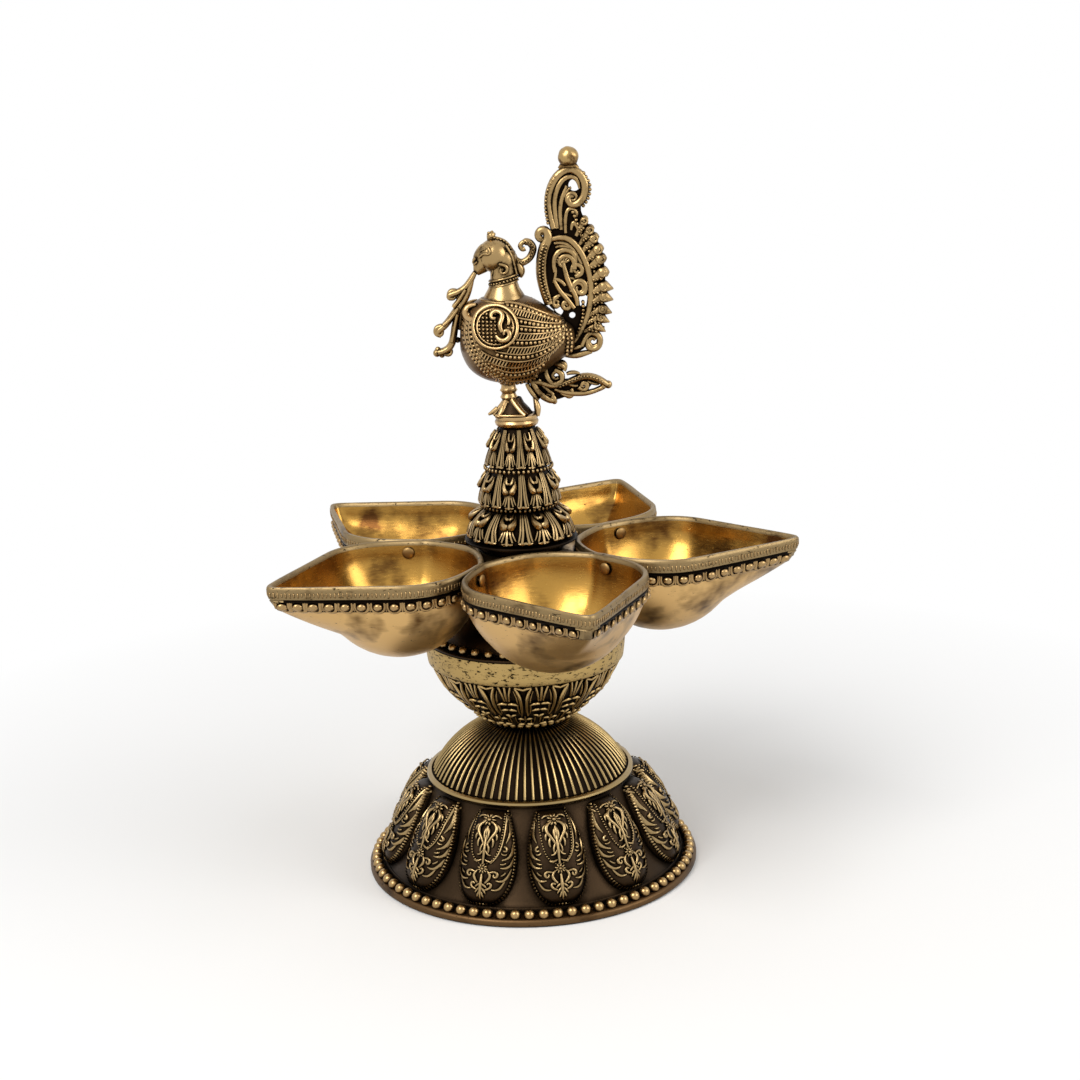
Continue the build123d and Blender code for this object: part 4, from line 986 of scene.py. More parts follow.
def body_rows():
    parts = []
    for k, (tall, gap) in enumerate(((1.4, 0.95), (0, 1.25), (1.5, 0.95), (0, 1.2), (1.5, 0.95), (0, 1.2))):
        drop = 155.6 - 1.55 * k
        line = eased([(-10.6 + 1.2 * k, drop + 3.4 - 0.3 * k), (-7 + k, drop + 0.6), (-1, drop - 1.2),
                      (5, drop - 0.6), (10 - 1.2 * k, drop + 1.6)])
        parts.append(row(line, gap, 0.58 if not tall else 0.36, tall, 0.12))
        parts.append(ridge([(x, z + 0.85) for x, z in line], 0.3))
    saddle = eased([(4.4, 173.4), (8.4, 171.2), (12.6, 168.2)])
    parts.append(row(saddle, 1.0, 0.36, 1.5, 0.6, 0.2))
    for x, half in ((15.2, 4.4), (16.5, 3.4)):
        parts.append(row([(x, 161.2 - half), (x + 0.4, 161.2), (x, 161.2 + half)], 1.15, 0.52))
    for k in range(4):
        line = eased([(-13.4 + 0.9 * k, 170.2 - 0.9 * k), (-14.7 + 1.2 * k, 166.0),
                      (-14.0 + 1.4 * k, 161.6 - 0.5 * k), (-11.4 + 1.7 * k, 157.4 - 0.6 * k),
                      (-7.6 + 1.9 * k, 152.8 - 0.7 * k)])
        parts.append(row(line, 1.25, 0.56))
        parts.append(ridge([(x + 0.7, z) for x, z in line], 0.3))
    return mirrored(joined(bent(joined(*parts), on_side), bent(crescent(), beside)))

finish_bird(joined(dark(bird_body()), body_rows()), "bird_egg", [bird_brass, skin_brass],
            "bird_body")

# %% [markdown]
# ### The wings
# A wing lies on each flank: a round shoulder medallion with a scroll and a field of dots, and behind it
# rows of beads and slanting barbs that run to the tail. The field is a sheet bent over the egg, a little
# proud of it.

# %% Wings
MEDAL_X, MEDAL_Z, MEDAL_R = -5.1, 166.6, 6.3
WING_TOP = eased([(-11.2, 166.4), (-8.0, 171.4), (-2.0, 173.0), (4.0, 171.6), (10.0, 168.6), (15.6, 165.6)],
                 4)
WING_LOW = eased([(-11.2, 161.6), (-8.4, 158.0), (-2.0, 155.4), (4.0, 155.2), (10.0, 157.6), (15.6, 162.4)],
                 4)

def wing_line(share, start=0.0, stop=1.0):
    """A line along the wing, from its low edge at share 0 to its top edge at share 1."""
    line = [(x + (u - x) * share, z + (w - z) * share) for (x, z), (u, w) in zip(WING_LOW, WING_TOP)]
    low, high = round(start * (len(line) - 1)), round(stop * (len(line) - 1))
    return line[low:high + 1]

def wing():
    field = bmesh.new()
    bmesh.ops.create_grid(field, x_segments=len(WING_TOP) - 1, y_segments=16, size=1)
    def place(x, y, _):
        k = round((x + 1) / 2 * (len(WING_TOP) - 1))
        (xl, zl), (xt, zt) = WING_LOW[k], WING_TOP[k]
        share = (y + 1) / 2
        lift = 0.75 * (1 - abs(y) ** 6) * min(1.0, (1 - abs(x)) * 12) - 0.3
        return on_side(xl + (xt - xl) * share, zl + (zt - zl) * share, lift)
    bent(field, place)
    bmesh.ops.solidify(field, geom=field.faces, thickness=0.6)
    parts = []
    plan = [(0.95, 0, 0), (0.87, 1.2, 0.8), (0.75, 0, 0), (0.64, 0, 0), (0.53, 1.3, 0.9), (0.43, 0, 0),
            (0.31, 1.6, 0.9), (0.2, 0, 0), (0.08, 1.2, 0.9)]
    for share, tall, gap in plan:
        line = wing_line(share, 0.42 if share > 0.3 else 0.3 if share > 0.15 else 0.16, 0.97)
        parts.append(row(line, gap or 1.25, 0.36 if tall else 0.6, tall, 0.3, 0.75))
        parts.append(ridge([(x, z + 0.85) for x, z in line], 0.26, 0.7))
    rows = bent(joined(*parts), on_side)
    medal = bmesh.new()
    bmesh.ops.create_circle(medal, cap_ends=True, segments=40, radius=MEDAL_R)
    bmesh.ops.inset_region(medal, faces=medal.faces, thickness=1.2)
    bmesh.ops.translate(medal, verts=medal.verts, vec=(MEDAL_X, MEDAL_Z, 1.2))
    bmesh.ops.poke(medal, faces=[f for f in medal.faces if len(f.verts) > 4])
    dots = [(x * 1.15 - 9.6, z * 1.1 + 161.6, 0.44, 1.3) for x in range(9) for z in range(10)]
    dots = [d for d in dots if hypot(d[0] - MEDAL_X, d[1] - MEDAL_Z) < 5.2
            and not (d[0] > -5.0 and d[1] > 163.0)]
    scroll = [(-4.9, 164.2, 0.4, 1.5), (-4.3, 162.9, 0.75, 1.7), (-2.4, 162.5, 0.8, 1.7),
              (-0.9, 163.9, 0.75, 1.7), (-1.4, 165.7, 0.65, 1.7), (-2.9, 165.4, 0.5, 1.7),
              (-2.6, 164.4, 0.4, 1.6)]
    hook = [(-3.2, 165.2, 0.5, 1.6), (-4.1, 167.0, 0.75, 1.7), (-3.0, 168.8, 0.75, 1.7),
            (-2.9, 170.4, 0.7, 1.7), (-4.6, 171.3, 0.65, 1.7), (-6.3, 170.3, 0.6, 1.7),
            (-6.0, 168.9, 0.5, 1.6), (-5.0, 169.1, 0.4, 1.6)]
    leaf = [(-1.4, 167.2, 0.4, 1.5), (-0.8, 168.6, 0.7, 1.6), (-1.6, 170.0, 0.4, 1.5)]
    rims = [[(MEDAL_X + r * cos(t), MEDAL_Z + r * sin(t), w, 1.25)
             for t in [2 * pi * i / 30 for i in range(31)]] for r, w in ((6.35, 0.5), (5.2, 0.24))]
    face = joined(dark(medal), pearls(dots), stroke(scroll, hook, leaf, *rims, sides=2))
    bmesh.ops.scale(face, verts=face.verts, vec=(1, 0.84, 1), space=Matrix.Translation((0, -167.3, 0)))
    return joined(dark(field), rows, bent(face, on_side))

wings = wing()
finish_bird(copied(wings, [Matrix()]), "wing_rows_near", [bird_brass, skin_brass], "wing_near")
finish_bird(copied(wings, [Matrix.Scale(-1, 4, (0, 1, 0))]), "wing_rows_far", [bird_brass, skin_brass],
            "wing_far")

# %% [markdown]
# ### Neck, head and beak
# The neck is smooth, with a collar at its foot and a pearl necklace under the cheek, where a few strokes
# are engraved. The head is a small ball that runs down into a blunt beak, with a comma-shaped eye scroll
# and brow lines.

# %% Head
NECK_X, NECKLACE_R, NECKLACE_Z = -2.2, 4.15, 178.7
def around_neck(radius, rise, tilt, thick, steps, closing=0):
    """Points (across, height, radius, depth) round the neck on a tilted ring; closing=1 repeats the first."""
    turns = [2 * pi * i / steps for i in range(steps + closing)]
    return [(NECK_X + radius * sin(t), rise + tilt * sin(t), thick, radius * cos(t)) for t in turns]

def bird_head():
    neck = spun([(0, 171.2), (6.8, 171.2), (6.6, 173.0), (5.6, 174.8), (4.5, 176.6), (3.9, 178.6),
                 (3.75, 180.6), (3.9, 183.0), (4.1, 185.0), (3.6, 187.0), (0, 188.4)], 40)
    bmesh.ops.translate(neck, verts=neck.verts, vec=(NECK_X, 0, 0))
    skull = bmesh.new()
    bmesh.ops.create_uvsphere(skull, u_segments=36, v_segments=20, radius=4.8)
    bmesh.ops.translate(skull, verts=skull.verts, vec=(-4.6, 0, 185.9))
    beak = stroke([(-3.4, 187.4, 2.0), (-5.2, 186.8, 4.0), (-7.4, 185.0, 3.7), (-8.4, 183.2, 2.7),
                   (-9.4, 181.8, 1.7), (-10.0, 180.9, 0.9)], sides=6, smooth=6, flat=0.85)
    marks = [
        [(-6.2, 188.6, 0.3, 4.0), (-5.6, 187.6, 0.4, 4.5), (-6.2, 186.6, 0.34, 4.6), (-7.2, 187.0, 0.3, 4.0),
         (-8.2, 186.5, 0.34, 3.3), (-8.9, 185.8, 0.3, 2.8)],
        [(-6.8, 188.2, 0.3, 3.5), (-7.8, 188.0, 0.34, 2.9), (-8.5, 187.4, 0.25, 2.4)],
        [(-7.4, 189.2, 0.2, 1.6), (-8.4, 188.4, 0.4, 1.6), (-9.1, 187.2, 0.3, 1.2)],
        [(-9.9, 185.6, 0.3, 2.5), (-10.8, 184.9, 0.4, 1.8), (-10.7, 184.1, 0.3, 1.6)],
        [(-9.5, 184.6, 0.25, 2.5), (-10.6, 183.6, 0.32, 1.7)],
        [(-3.4, 183.9, 0.4, 4.4), (-1.6, 183.6, 0.5, 4.3), (-0.8, 182.2, 0.5, 4.2), (-2.0, 180.9, 0.45, 4.0),
         (-3.3, 181.6, 0.4, 4.1), (-2.8, 182.6, 0.35, 4.2)]]
    marks += [[(-5.6 + 0.9 * k, 180.4, 0.22, 2.2 + 0.5 * k), (-5.0 + 0.9 * k, 182.6, 0.26, 2.6 + 0.5 * k)]
              for k in range(4)]
    marks.append([(-1.2, 189.0, 0.28, 3.0), (0.2, 186.6, 0.34, 3.1), (1.0, 183.6, 0.34, 2.9),
                  (1.6, 180.6, 0.28, 2.2)])
    lines = bent(stroke(*marks, sides=2), beside)
    chain = pearls(around_neck(NECKLACE_R, NECKLACE_Z, 1.0, 0.42, 26))
    bands = [around_neck(4.2, NECKLACE_Z + rise, 1.0, 0.28, 24, 1) for rise in (-0.9, 0.9)]
    collar = around_neck(6.9, 172.9, -0.5, 0.5, 28, 1)
    rings = bent(joined(chain, stroke(*bands, collar)), beside)
    return joined(neck, skull, bent(beak, beside), mirrored(lines), rings)

finish_bird(bird_head(), "head_and_neck", tail_brass, "bird_head")

# %% [markdown]
# ### Crest and creeper
# A beaded headband runs over the skull to a curled plume. From the beak hangs a creeper with curled ends.

# %% Crest plume and beak creeper
def crest_plume():
    strand = eased([(-4.6, 190.7), (-1.6, 189.5), (0.5, 186.6), (1.8, 183.6), (2.6, 181.4)], 4)
    plume = eased([(0.6, 185.0), (3.0, 183.6), (5.4, 184.8), (6.6, 187.4), (5.6, 189.2), (3.9, 189.4),
                   (2.9, 188.4), (3.5, 187.4), (4.3, 187.6)], 4)
    lines = [[(x, z, 0.85, 0) for x, z in strand],
             [(x, z, 1.05 if i < 20 else 0.7, 0) for i, (x, z) in enumerate(plume)],
             [(-5.5, 190.2, 1.0, 0), (-5.4, 191.4, 1.25, 0), (-5.1, 192.0, 1.2, 0), (-4.9, 192.6, 0.7, 0)],
             [(1.2, 184.4, 1.1, 0), (2.6, 182.0, 1.5, 0), (3.0, 180.4, 1.1, 0), (2.6, 179.4, .5, 0)]]
    beads = [(x + 0.2, z + 0.3, 0.42, y) for y in (-0.85, 0.85) for x, z in along(strand, 0.95)]
    beads += [(x, z, 0.42, y) for y in (-1.0, 1.0) for x, z in along(plume[:22], 0.95)]
    beads += [(-5.3 + 0.9 * cos(t), 192.0 + 0.6 * sin(t), 0.5, 0.9 * sin(3 * t))
              for t in (0, 1.2, 2.4, 3.6, 4.8)]
    return bent(joined(stroke(*lines, sides=3), pearls(beads)), beside)

def beak_creeper():
    lines = [
        [(-10.3, 181.3, 0.7), (-11.4, 179.4, 0.95), (-13.0, 177.2, 1.0), (-15.0, 175.9, 0.95),
         (-17.0, 175.4, 1.0), (-18.2, 174.9, 0.9), (-17.8, 173.9, 0.7), (-16.9, 174.2, 0.5)],
        [(-11.2, 179.6, 0.7), (-12.2, 176.4, 1.0), (-13.8, 173.2, 1.05), (-15.6, 170.6, 1.0)],
        [(-13.6, 174.0, 0.7), (-16.0, 170.8, 1.1), (-18.2, 168.0, 1.0), (-19.9, 166.0, 1.0),
         (-21.6, 164.9, 1.0), (-22.0, 163.7, 0.8), (-20.9, 163.4, 0.6)],
        [(-15.4, 171.0, 0.7), (-16.6, 167.0, 1.1), (-17.2, 163.4, 1.1), (-18.0, 160.4, 1.1),
         (-20.0, 158.8, 1.0), (-22.0, 158.5, 1.0)],
        [(-14.2, 172.4, 0.5), (-15.0, 168.4, 0.9), (-15.4, 165.0, 0.5)],
        [(-12.6, 177.6, 0.5), (-14.4, 176.2, 0.8), (-15.8, 173.8, 0.4)]]
    lines += [spiral(-17.0, 174.9, 1.7, 40, 1.1, 0.7), spiral(-21.2, 164.6, 1.7, 70, 1.1, 0.75),
              spiral(-18.9, 158.9, 1.5, 150, 0.9, 0.7)]
    knobs = pearls([(-22.3, 158.4, 1.2, 0), (-20.9, 157.8, 0.9, 0), (-22.0, 159.4, 0.9, 0),
                    (-16.2, 162.0, 0.9, 0)], 2)
    lines = [[(x, z, 0.95 * r, y) for x, z, r in line] for line in lines for y in (-0.7, 0.7)]
    veins = [[(-13.2, 176.6), (-15.0, 173.8), (-17.0, 171.6)],
             [(-15.6, 171.4), (-17.6, 168.2), (-20.0, 166.6)],
             [(-15.9, 169.6), (-17.0, 165.0), (-17.8, 161.6)]]
    leaves = [[(x, z, 0.55, y) for x, z in line] for y in (-1.5, 1.5) for line in veins]
    return bent(joined(stroke(*lines, *leaves, sides=3), knobs), beside)

finish_bird(crest_plume(), "crest_and_plume", tail_brass, "crest_plume")
finish_bird(beak_creeper(), "creeper", tail_brass, "beak_creeper")

# %% [markdown]
# ## The openwork tail
# The tail is the caster's showpiece: a flat fan pierced by scrolls, with a beaded stalk in front, eleven
# feather lobes behind and a loop on top. The upper lobes are round and the lower ones end in points. A thin
# web joins it. The web is a filled curve with holes, and every scroll is a stroke through the web, so both
# sides show it.

# %% Tail fan
LOBES, ROUND_LOBES = 11, 6
def web(outline, holes, half):
    """A flat sheet of even thickness with round holes, in the profile plane."""
    curve = bpy.data.curves.new("web", "CURVE")
    curve.dimensions = "2D"
    curve.fill_mode = "BOTH"
    curve.extrude = half
    rounds = [[(x + r * cos(2 * pi * i / 16), z + r * sin(2 * pi * i / 16)) for i in range(16)]
              for x, z, r in holes]
    for line in [outline] + rounds:
        spline = curve.splines.new("POLY")
        spline.points.add(len(line) - 1)
        for knot, (x, z) in zip(spline.points, line):
            knot.co = (x, z, 0, 1)
        spline.use_cyclic_u = True
    sheet = bpy.data.objects.new("web", curve)
    bm = bmesh.new()
    bm.from_mesh(bpy.data.meshes.new_from_object(sheet))
    bpy.data.objects.remove(sheet)
    bpy.data.curves.remove(curve)
    return bm

def tail_fan():
    edge = eased([(10.8, 170.8), (8.6, 176.0), (7.9, 182.0), (8.9, 188.0), (11.8, 191.0), (10.9, 197.0),
                  (11.4, 203.0), (14.2, 208.2), (17.4, 210.2), (20.9, 208.6), (22.4, 205.0), (21.2, 201.0),
                  (20.6, 197.6), (22.6, 193.6), (25.0, 189.4), (26.6, 184.0), (27.0, 177.0), (26.4, 170.4),
                  (24.4, 164.4), (21.6, 159.4), (17.0, 156.4), (13.6, 156.4), (15.0, 162.0),
                  (13.4, 168.0)], 3)
    sheet = dark(web(edge, [(18.9, 205.0, 1.7), (20.6, 172.0, 1.7), (13.3, 169.3, 1.3), (17.2, 168.0, 0.9)],
                     0.5))
    scrolls = [
        [(10.6, 171.4, 1.3), (9.4, 175.4, 1.5), (8.6, 180.0, 1.6), (8.9, 184.6, 1.6), (9.8, 188.0, 1.6),
         (11.2, 190.4, 1.5), (10.4, 192.8, 1.2), (8.4, 192.6, 1.0), (8.0, 190.8, 0.9), (9.2, 190.2, 0.6)],
        [(12.6, 193.0, 0.9), (11.1, 198.0, 1.05), (11.4, 203.0, 1.1), (13.6, 207.6, 1.15),
         (17.2, 209.8, 1.15), (20.6, 208.4, 1.2), (22.1, 205.2, 1.25), (21.7, 201.8, 1.25),
         (19.8, 199.6, 1.2), (17.8, 199.3, 1.05), (16.8, 200.8, 0.9), (17.5, 202.2, 0.75),
         (18.6, 201.8, 0.5)],
        [(13.6, 193.0, 0.7), (12.9, 198.0, 0.85), (13.3, 203.0, 0.85), (15.4, 206.8, 0.85),
         (18.2, 207.7, 0.8), (20.2, 206.2, 0.65), (20.4, 204.0, 0.4)],
        [(14.8, 192.6, 0.6), (14.4, 197.0, 0.75), (15.0, 201.4, 0.75), (16.7, 204.8, 0.5)],
        [(16.0, 191.6, 0.5), (15.8, 194.8, 0.7), (16.6, 198.4, 0.6), (18.4, 198.4, 0.6), (19.6, 196.8, 0.7),
         (18.9, 195.9, 0.5)],
        [(12.0, 190.0, 0.8), (15.6, 190.9, 1.0), (19.2, 187.9, 1.05), (21.7, 183.0, 1.05),
         (22.9, 177.6, 1.05), (22.8, 171.8, 1.05), (21.2, 166.6, 1.05), (18.7, 162.2, 1.0),
         (15.4, 158.6, 1.0), (12.6, 156.4, 0.8)],
        [(12.6, 188.8, 0.5), (15.8, 189.2, 0.7), (18.6, 186.2, 0.7), (20.4, 182.6, 0.6)],
        [(12.5, 180.6, 0.6), (11.9, 183.9, 0.85), (14.0, 186.9, 0.9), (17.4, 186.7, 0.9), (19.2, 184.0, 0.8),
         (17.8, 181.4, 0.6)],
        [(17.2, 180.4, 0.6), (17.5, 182.4, 0.75), (19.6, 182.6, 0.8), (20.8, 180.8, 0.8), (19.4, 179.4, 0.7),
         (18.5, 180.4, 0.5)],
        [(17.2, 175.8, 0.7), (18.2, 178.0, 0.8), (20.9, 177.8, 0.85), (21.6, 175.0, 0.85), (19.8, 173.6, 0.8),
         (18.6, 174.9, 0.6)],
        [(15.0, 183.4, 0.5), (15.6, 180.0, 0.9), (16.8, 176.4, 0.85), (18.6, 173.2, 0.8), (18.8, 170.8, 0.7)],
        [(12.2, 178.4, 0.5), (13.4, 175.4, 0.8), (15.8, 172.8, 0.85), (17.8, 170.0, 0.7)],
        [(12.4, 178.6, 0.5), (14.2, 178.4, 0.8), (15.4, 176.6, 0.5)],
        [(14.0, 174.0, 0.4), (12.2, 173.4, 0.8), (11.5, 171.4, 0.8), (12.7, 170.3, 0.7), (13.6, 171.2, 0.5)],
        [(16.8, 171.6, 0.4), (15.2, 172.3, 0.7), (14.3, 170.9, 0.7), (15.2, 169.6, 0.7), (16.3, 170.2, 0.5)],
        [(13.6, 182.4, 0.3), (14.6, 183.8, 0.6), (16.2, 183.4, 0.5)]]
    heel = [[(19.6, 159.0, 0.7), (21.0, 162.2, 0.8), (23.6, 163.0, 0.9), (25.2, 161.0, 0.95),
             (24.6, 158.4, 0.95), (22.4, 157.6, 0.9), (20.9, 159.2, 0.8), (21.6, 160.9, 0.6)],
            [(14.6, 156.6, 0.7), (17.4, 156.0, 0.9), (20.4, 156.8, 0.9), (22.6, 157.2, 0.5)],
            [(15.0, 158.4, 0.5), (18.0, 158.0, 0.8), (20.2, 159.4, 0.5)],
            [(22.6, 163.4, 0.5), (24.8, 164.4, 0.8), (26.4, 164.0, 0.3)]]
    beads = []
    for line, gap, size, reach in (
            ([(10.2, 172.4), (9.0, 175.6), (8.2, 180.0), (8.4, 184.6), (9.3, 188.0)], 0.95, 0.45, 1.95),
            ([(11.0, 172.8), (9.8, 176.0), (9.1, 180.4), (9.4, 184.6), (10.3, 187.6)], 0.95, 0.45, 1.95),
            ([(11.0, 194.6), (10.5, 199.0), (11.3, 203.9), (13.9, 208.2)], 1.05, 0.5, 1.2),
            ([(20.4, 171.6), (20.2, 167.4), (18.4, 162.6), (15.4, 158.6), (13.0, 156.6)], 1.1, 0.6, 1.0),
            ([(18.2, 197.4), (20.2, 192.4), (22.2, 187.4), (23.6, 182.4), (24.2, 177.0), (24.0, 171.6),
              (22.8, 166.2)], 1.2, 0.62, 0.9),
            ([(21.6, 208.2), (23.2, 205.0), (22.8, 201.4), (20.8, 198.6)], 1.25, 0.62, 0.8)):
        for x, z in along(eased(line, 4), gap):
            beads += [(x, z, size, y) for y in (-reach, reach)]
    lobes, lobe_curls = [], []
    spine = eased([(21.2, 194.6), (23.4, 190.4), (25.0, 185.6), (25.9, 180.0), (26.0, 174.0), (25.4, 168.8),
                   (24.0, 164.8)], 6)
    for i in range(LOBES):
        x, z = spine[round(i * (len(spine) - 1) / (LOBES - 1))]
        size = 0.85 + 0.25 * sin(pi * i / (LOBES - 1))
        c, s = cos(radians(58 - 9 * i)), sin(radians(58 - 9 * i))
        tip = (2.1, 1.4, 0.7) if i < ROUND_LOBES else (3.2, 1.9, 0.15)
        lobes.append([(x - 4.2 * c, z - 2.6 - 1.6 * s, 0.6), (x - 1.8 * c, z - 1.2 - 0.8 * s, 1.15 * size),
                      (x + 0.2 * c, z + 0.2 * s, 1.85 * size),
                      (x + 1.1 * c, z + 1.1 * s - 0.3, 1.6 * size),
                      (x + tip[0] * c, z + tip[1] * s - 0.9, tip[2] * size)])
        lobe_curls.append(spiral(x + 0.5 * c, z + 0.4 * s, 1.35 * size, 200 - 9 * i, 1.1, 0.42))
        beads += [(x - k * c, z - 1.7 - 0.5 * k * s, 0.52, y) for k in (0.2, 1.3, 2.4) for y in (-1.25, 1.25)]
    palmette = [[(14.6 + 0.6 * cos(t), 182.6 + 0.6 * sin(t), 0.22),
                 (14.6 + 2.5 * cos(t), 182.6 + 2.5 * sin(t), 0.36)]
                for t in [radians(30 + 20 * i) for i in range(7)]]
    braid = [[(x - 0.5, z - 0.35, 0.3), (x + 0.1, z + 0.3, 0.4), (x + 0.75, z - 0.35, 0.3)]
             for x, z in along(eased([(9.9, 174.0), (9.0, 178.0), (8.7, 182.0), (9.2, 186.0), (9.9, 189.0)],
                                     4), 1.0)]
    curls = [spiral(9.4, 191.0, 2.3, 20, 1.3, 0.9), spiral(15.3, 182.9, 3.3, 330, 0.75, 0.9),
             spiral(19.0, 181.0, 2.0, 250, 1.2, 0.75), spiral(19.3, 175.6, 2.2, 200, -1.2, 0.8),
             spiral(12.5, 171.9, 1.6, 60, 1.2, 0.6), spiral(15.4, 170.7, 1.5, 80, -1.2, 0.6),
             spiral(23.0, 160.2, 2.5, 100, -1.2, 0.85), spiral(18.3, 201.4, 2.3, 300, -1.2, 0.8)]
    fills = [[(12.0, 177.6, 0.3), (13.2, 180.2, 0.7), (12.6, 182.6, 0.3)],
             [(13.0, 187.6, 0.4), (16.2, 188.6, 0.8), (19.0, 186.0, 0.4)],
             [(16.2, 178.6, 0.3), (17.8, 178.9, 0.6), (18.4, 178.0, 0.3)],
             [(13.4, 173.8, 0.3), (15.0, 174.6, 0.8), (17.2, 173.4, 0.3)],
             [(17.6, 192.4, 0.4), (18.0, 195.2, 0.8), (19.8, 193.2, 0.8), (21.4, 188.6, 0.5)],
             [(14.9, 200.0, 0.4), (16.4, 203.6, 0.7), (18.0, 204.4, 0.3)]]
    both = at_depths(scrolls + heel + lobes + curls + fills, -0.6, 0.6) + at_depths(lobe_curls, -1.95, 1.95)
    both += at_depths(palmette, -0.75, 0.75) + at_depths(braid, -1.95, 1.95)
    return bent(joined(sheet, stroke(*both, sides=2, flat=0.85), pearls(beads)), beside)

def tail_finial():
    """A ball that is a little dented, as castings are, on a low saddle over the loop."""
    ball = bmesh.new()
    bmesh.ops.create_uvsphere(ball, u_segments=32, v_segments=18, radius=3.05)
    for vert in ball.verts:
        x, y, z = vert.co
        vert.co *= 1 - 0.035 * (1 + sin(1.7 * x + 0.9 * z) * sin(1.3 * z - y))
    bmesh.ops.translate(ball, verts=ball.verts, vec=(17.4, 0, 212.9))
    saddle = [(14.9, 209.4, 0.8, 0), (16.1, 210.5, 1.3, 0), (17.4, 211.0, 1.8, 0), (18.7, 210.4, 1.3, 0),
              (19.9, 209.3, 0.8, 0)]
    return joined(ball, bent(stroke(saddle, sides=3), beside))

finish_bird(tail_fan(), "tail_openwork", [tail_brass, groove_brass], "tail_fan")
finish_piece(tail_finial(), "tail_ball", ball_brass, ["tail_finial"], body="bird")

# %% [markdown]
# ### The scroll under the tail
# A second, smaller spray of openwork hangs under the tail and reaches back as far as it does.

# %% Scroll under the tail
def under_tail_scroll():
    lines = [
        [(3.6, 149.6, 0.9), (7.4, 148.6, 0.9), (11.2, 147.2, 0.85), (15.4, 148.4, 0.9), (19.6, 150.2, 0.95),
         (23.4, 149.6, 1.0), (26.2, 147.6, 1.1), (26.9, 147.2, 0.8)],
        [(24.8, 146.2, 0.6), (21.4, 145.0, 0.75), (17.6, 145.0, 0.8), (14.0, 145.4, 0.8), (11.4, 146.6, 0.6)],
        [(9.0, 151.6, 0.8), (9.6, 149.0, 0.8), (11.8, 147.6, 0.8), (13.8, 148.8, 0.8), (13.6, 151.4, 0.8),
         (11.6, 152.4, 0.7)],
        [(19.0, 145.6, 0.5), (20.6, 146.2, 0.6), (20.8, 147.6, 0.6), (19.4, 148.0, 0.5), (18.9, 147.0, 0.4)],
        [(4.8, 149.4, 0.9), (6.2, 146.4, 1.0), (8.4, 144.2, 1.1), (10.6, 143.0, 0.9), (11.6, 143.9, 0.7),
         (10.6, 144.9, 0.5)],
        [(6.8, 149.6, 0.6), (8.6, 146.6, 0.9), (10.8, 145.4, 0.5)],
        [(3.4, 148.4, 0.6), (4.6, 145.6, 0.9), (6.6, 143.6, 0.6)],
        [(13.0, 145.6, 0.5), (14.6, 144.2, 0.9), (16.4, 144.6, 0.5)],
        [(11.4, 154.4, 0.9), (13.4, 154.0, 1.0), (14.6, 152.6, 0.7)],
        [(14.4, 149.0, 0.4), (16.4, 147.0, 0.7), (18.2, 147.4, 0.4)],
        [(8.4, 155.6, 0.9), (8.6, 153.4, 0.9), (9.2, 151.4, 0.7)]]
    beads = [(x, z, 0.45, y) for y in (-1.5, 1.5) for x, z in along(eased(
        [(13.0, 147.4), (16.4, 148.9), (20.0, 150.2), (23.6, 149.4), (26.0, 147.8)], 4), 0.95)]
    lines += [spiral(12.0, 150.4, 2.4, 250, 1.2, 0.85), spiral(19.9, 147.4, 1.7, 200, 1.2, 0.7),
              spiral(9.6, 144.6, 1.6, 100, -1.2, 0.7), spiral(15.4, 145.2, 1.5, 60, -1.2, 0.65),
              spiral(13.4, 153.4, 1.6, 300, 1.1, 0.7),
              [(15.0, 150.9, 0.4), (17.0, 151.6, 0.8), (18.8, 150.8, 0.3)],
              [(21.0, 148.6, 0.3), (22.8, 147.6, 0.7), (24.4, 147.6, 0.3)],
              [(21.8, 145.6, 0.3), (24.0, 145.8, 0.8), (25.8, 146.8, 0.7)]]
    lines = at_depths(lines, -0.6, 0.6)
    tips = [(27.0, 147.3, 1.25, 0), (25.6, 146.9, 0.9, 0.5), (25.6, 146.9, 0.9, -0.5), (6.0, 144.4, 0.9, 0),
            (11.2, 142.9, 0.9, 0)]
    edge = eased([(3.6, 150.6), (8.0, 152.4), (12.0, 154.0), (14.0, 152.0), (14.6, 149.4), (19.4, 150.0),
                  (22.4, 149.0), (21.0, 146.0), (16.0, 144.8), (11.0, 143.2), (7.4, 144.4),
                  (5.0, 147.0)], 2)
    sheet = dark(web(edge, [(12.0, 151.2, 1.0), (20.0, 147.6, 0.9)], 0.5))
    return bent(joined(sheet, stroke(*lines, sides=2), pearls(beads), pearls(tips, 2)), beside)

finish_bird(under_tail_scroll(), "under_tail_spray", [tail_brass, groove_brass],
            "under_tail_scroll")

# %% [markdown]
# ## Floor, sky and lamps
# The photograph has a white ground. The floor is pale and plain, and only the camera and mirror rays see
# the world at full white, so that the lamp's metal reflects a bright studio while its light stays level.
# Two soft lamps give the long highlights.

# %% Studio
def seen_directly(tree):
    """1 where the camera, a mirror or glass looks at this surface, 0 for its scattered light."""
    path = add(tree, "LightPath")
    seen = add(tree, "Math", {0: path.outputs["Is Camera Ray"], 1: path.outputs["Is Glossy Ray"]},
               operation="ADD")
    return add(tree, "Math", {0: seen.outputs[0], 1: path.outputs["Is Transmission Ray"]}, operation="ADD",
               use_clamp=True).outputs[0]

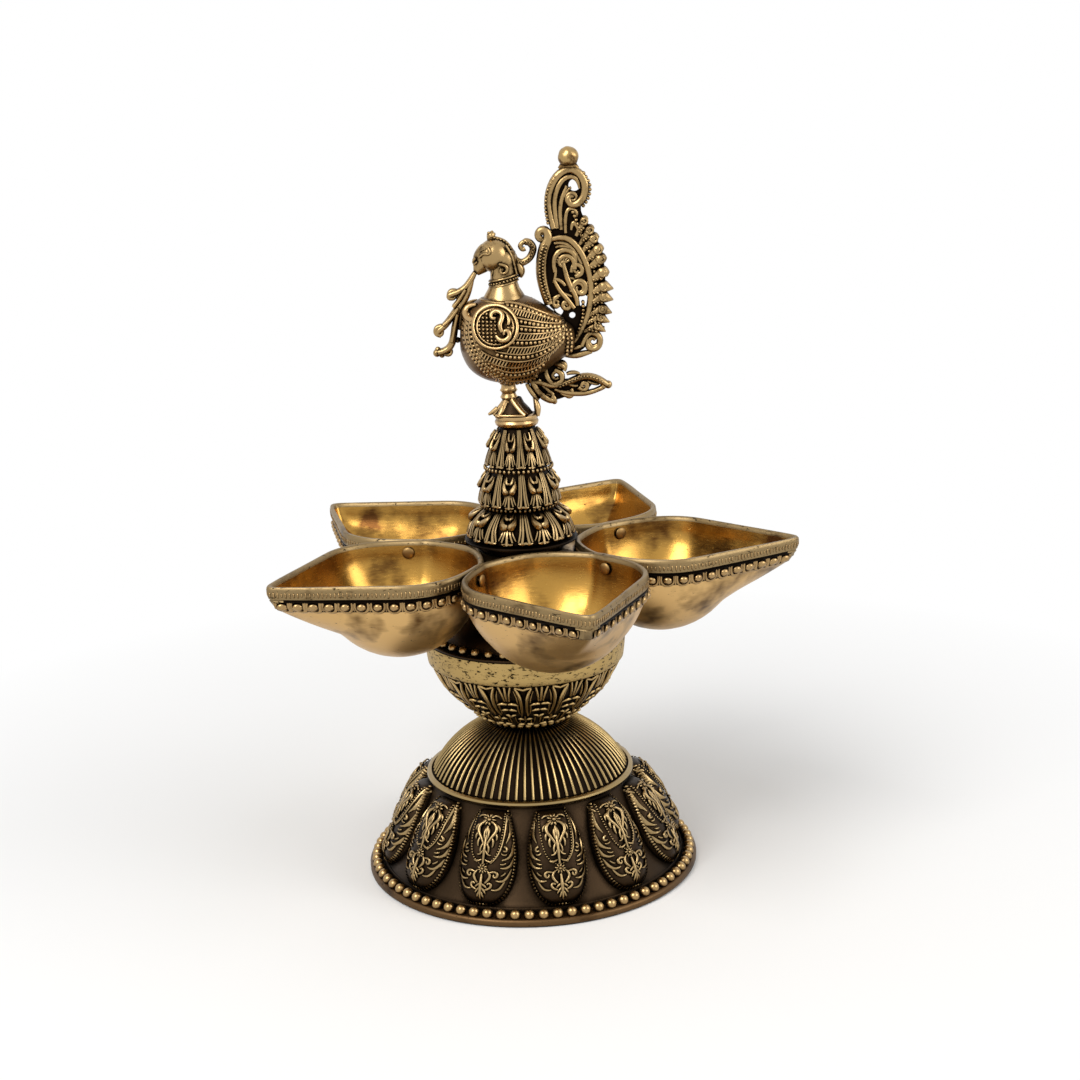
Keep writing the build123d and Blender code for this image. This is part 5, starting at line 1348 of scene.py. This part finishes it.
def white_world(scattered):
    world = bpy.data.worlds.new("studio")
    bpy.context.scene.world = world
    world.use_nodes = True
    tree = world.node_tree
    level = add(tree, "Mix", {0: seen_directly(tree), 2: scattered, 3: 1.0})
    tree.nodes["Background"].inputs["Color"].default_value = grey(1)
    tree.links.new(level.outputs[0], tree.nodes["Background"].inputs["Strength"])

FADE_FROM, FADE_TO = 0.09, 0.3  # metres from the lamp's axis
def paper_floor():
    paper = bpy.data.materials.new("floor_white_paper")
    paper.use_nodes = True
    tree = paper.node_tree
    sheet = tree.nodes["Principled BSDF"]
    sheet.inputs["Base Color"].default_value = linear("#F4F3F1")
    sheet.inputs["Roughness"].default_value = 0.9
    # The paper fades to plain white a hand's width from the foot, past the object's shadow.
    away = add(tree, "VectorMath", {0: add(tree, "TexCoord").outputs["Object"]},
               operation="LENGTH").outputs["Value"]
    fade = add(tree, "MapRange", {"Value": away, 1: FADE_FROM, 2: FADE_TO}).outputs[0]
    fade = add(tree, "Math", {0: fade, 1: seen_directly(tree)}, operation="MULTIPLY").outputs[0]
    glow = add(tree, "Emission", {"Color": grey(1), "Strength": 1.0})
    both = add(tree, "MixShader", {0: fade, 1: sheet.outputs[0], 2: glow.outputs[0]})
    tree.links.new(both.outputs[0], tree.nodes["Material Output"].inputs["Surface"])
    grid = bmesh.new()
    bmesh.ops.create_grid(grid, x_segments=1, y_segments=1, size=4.0)
    mesh = bpy.data.meshes.new("floor")
    grid.to_mesh(mesh)
    mesh.materials.append(paper)
    floor = bpy.data.objects.new("floor", mesh)
    bpy.context.scene.collection.objects.link(floor)

def soft_lamp(name, place, size, power):
    light = bpy.data.lights.new(name, "AREA")
    light.size, light.energy = size, power
    lamp = bpy.data.objects.new(name, light)
    lamp.location = place
    lamp.rotation_euler = (Vector((0, 0, 0.1)) - lamp.location).to_track_quat("-Z", "Y").to_euler()
    bpy.context.scene.collection.objects.link(lamp)

SCATTERED = 0.5  # the world's strength for light that has bounced off something dull
white_world(SCATTERED)
paper_floor()
soft_lamp("key", (-0.5, -0.6, 0.9), 0.6, 8.5)
soft_lamp("fill", (0.75, -0.3, 0.5), 0.5, 3.0)
print("lamps:", [light.name for light in bpy.data.lights])
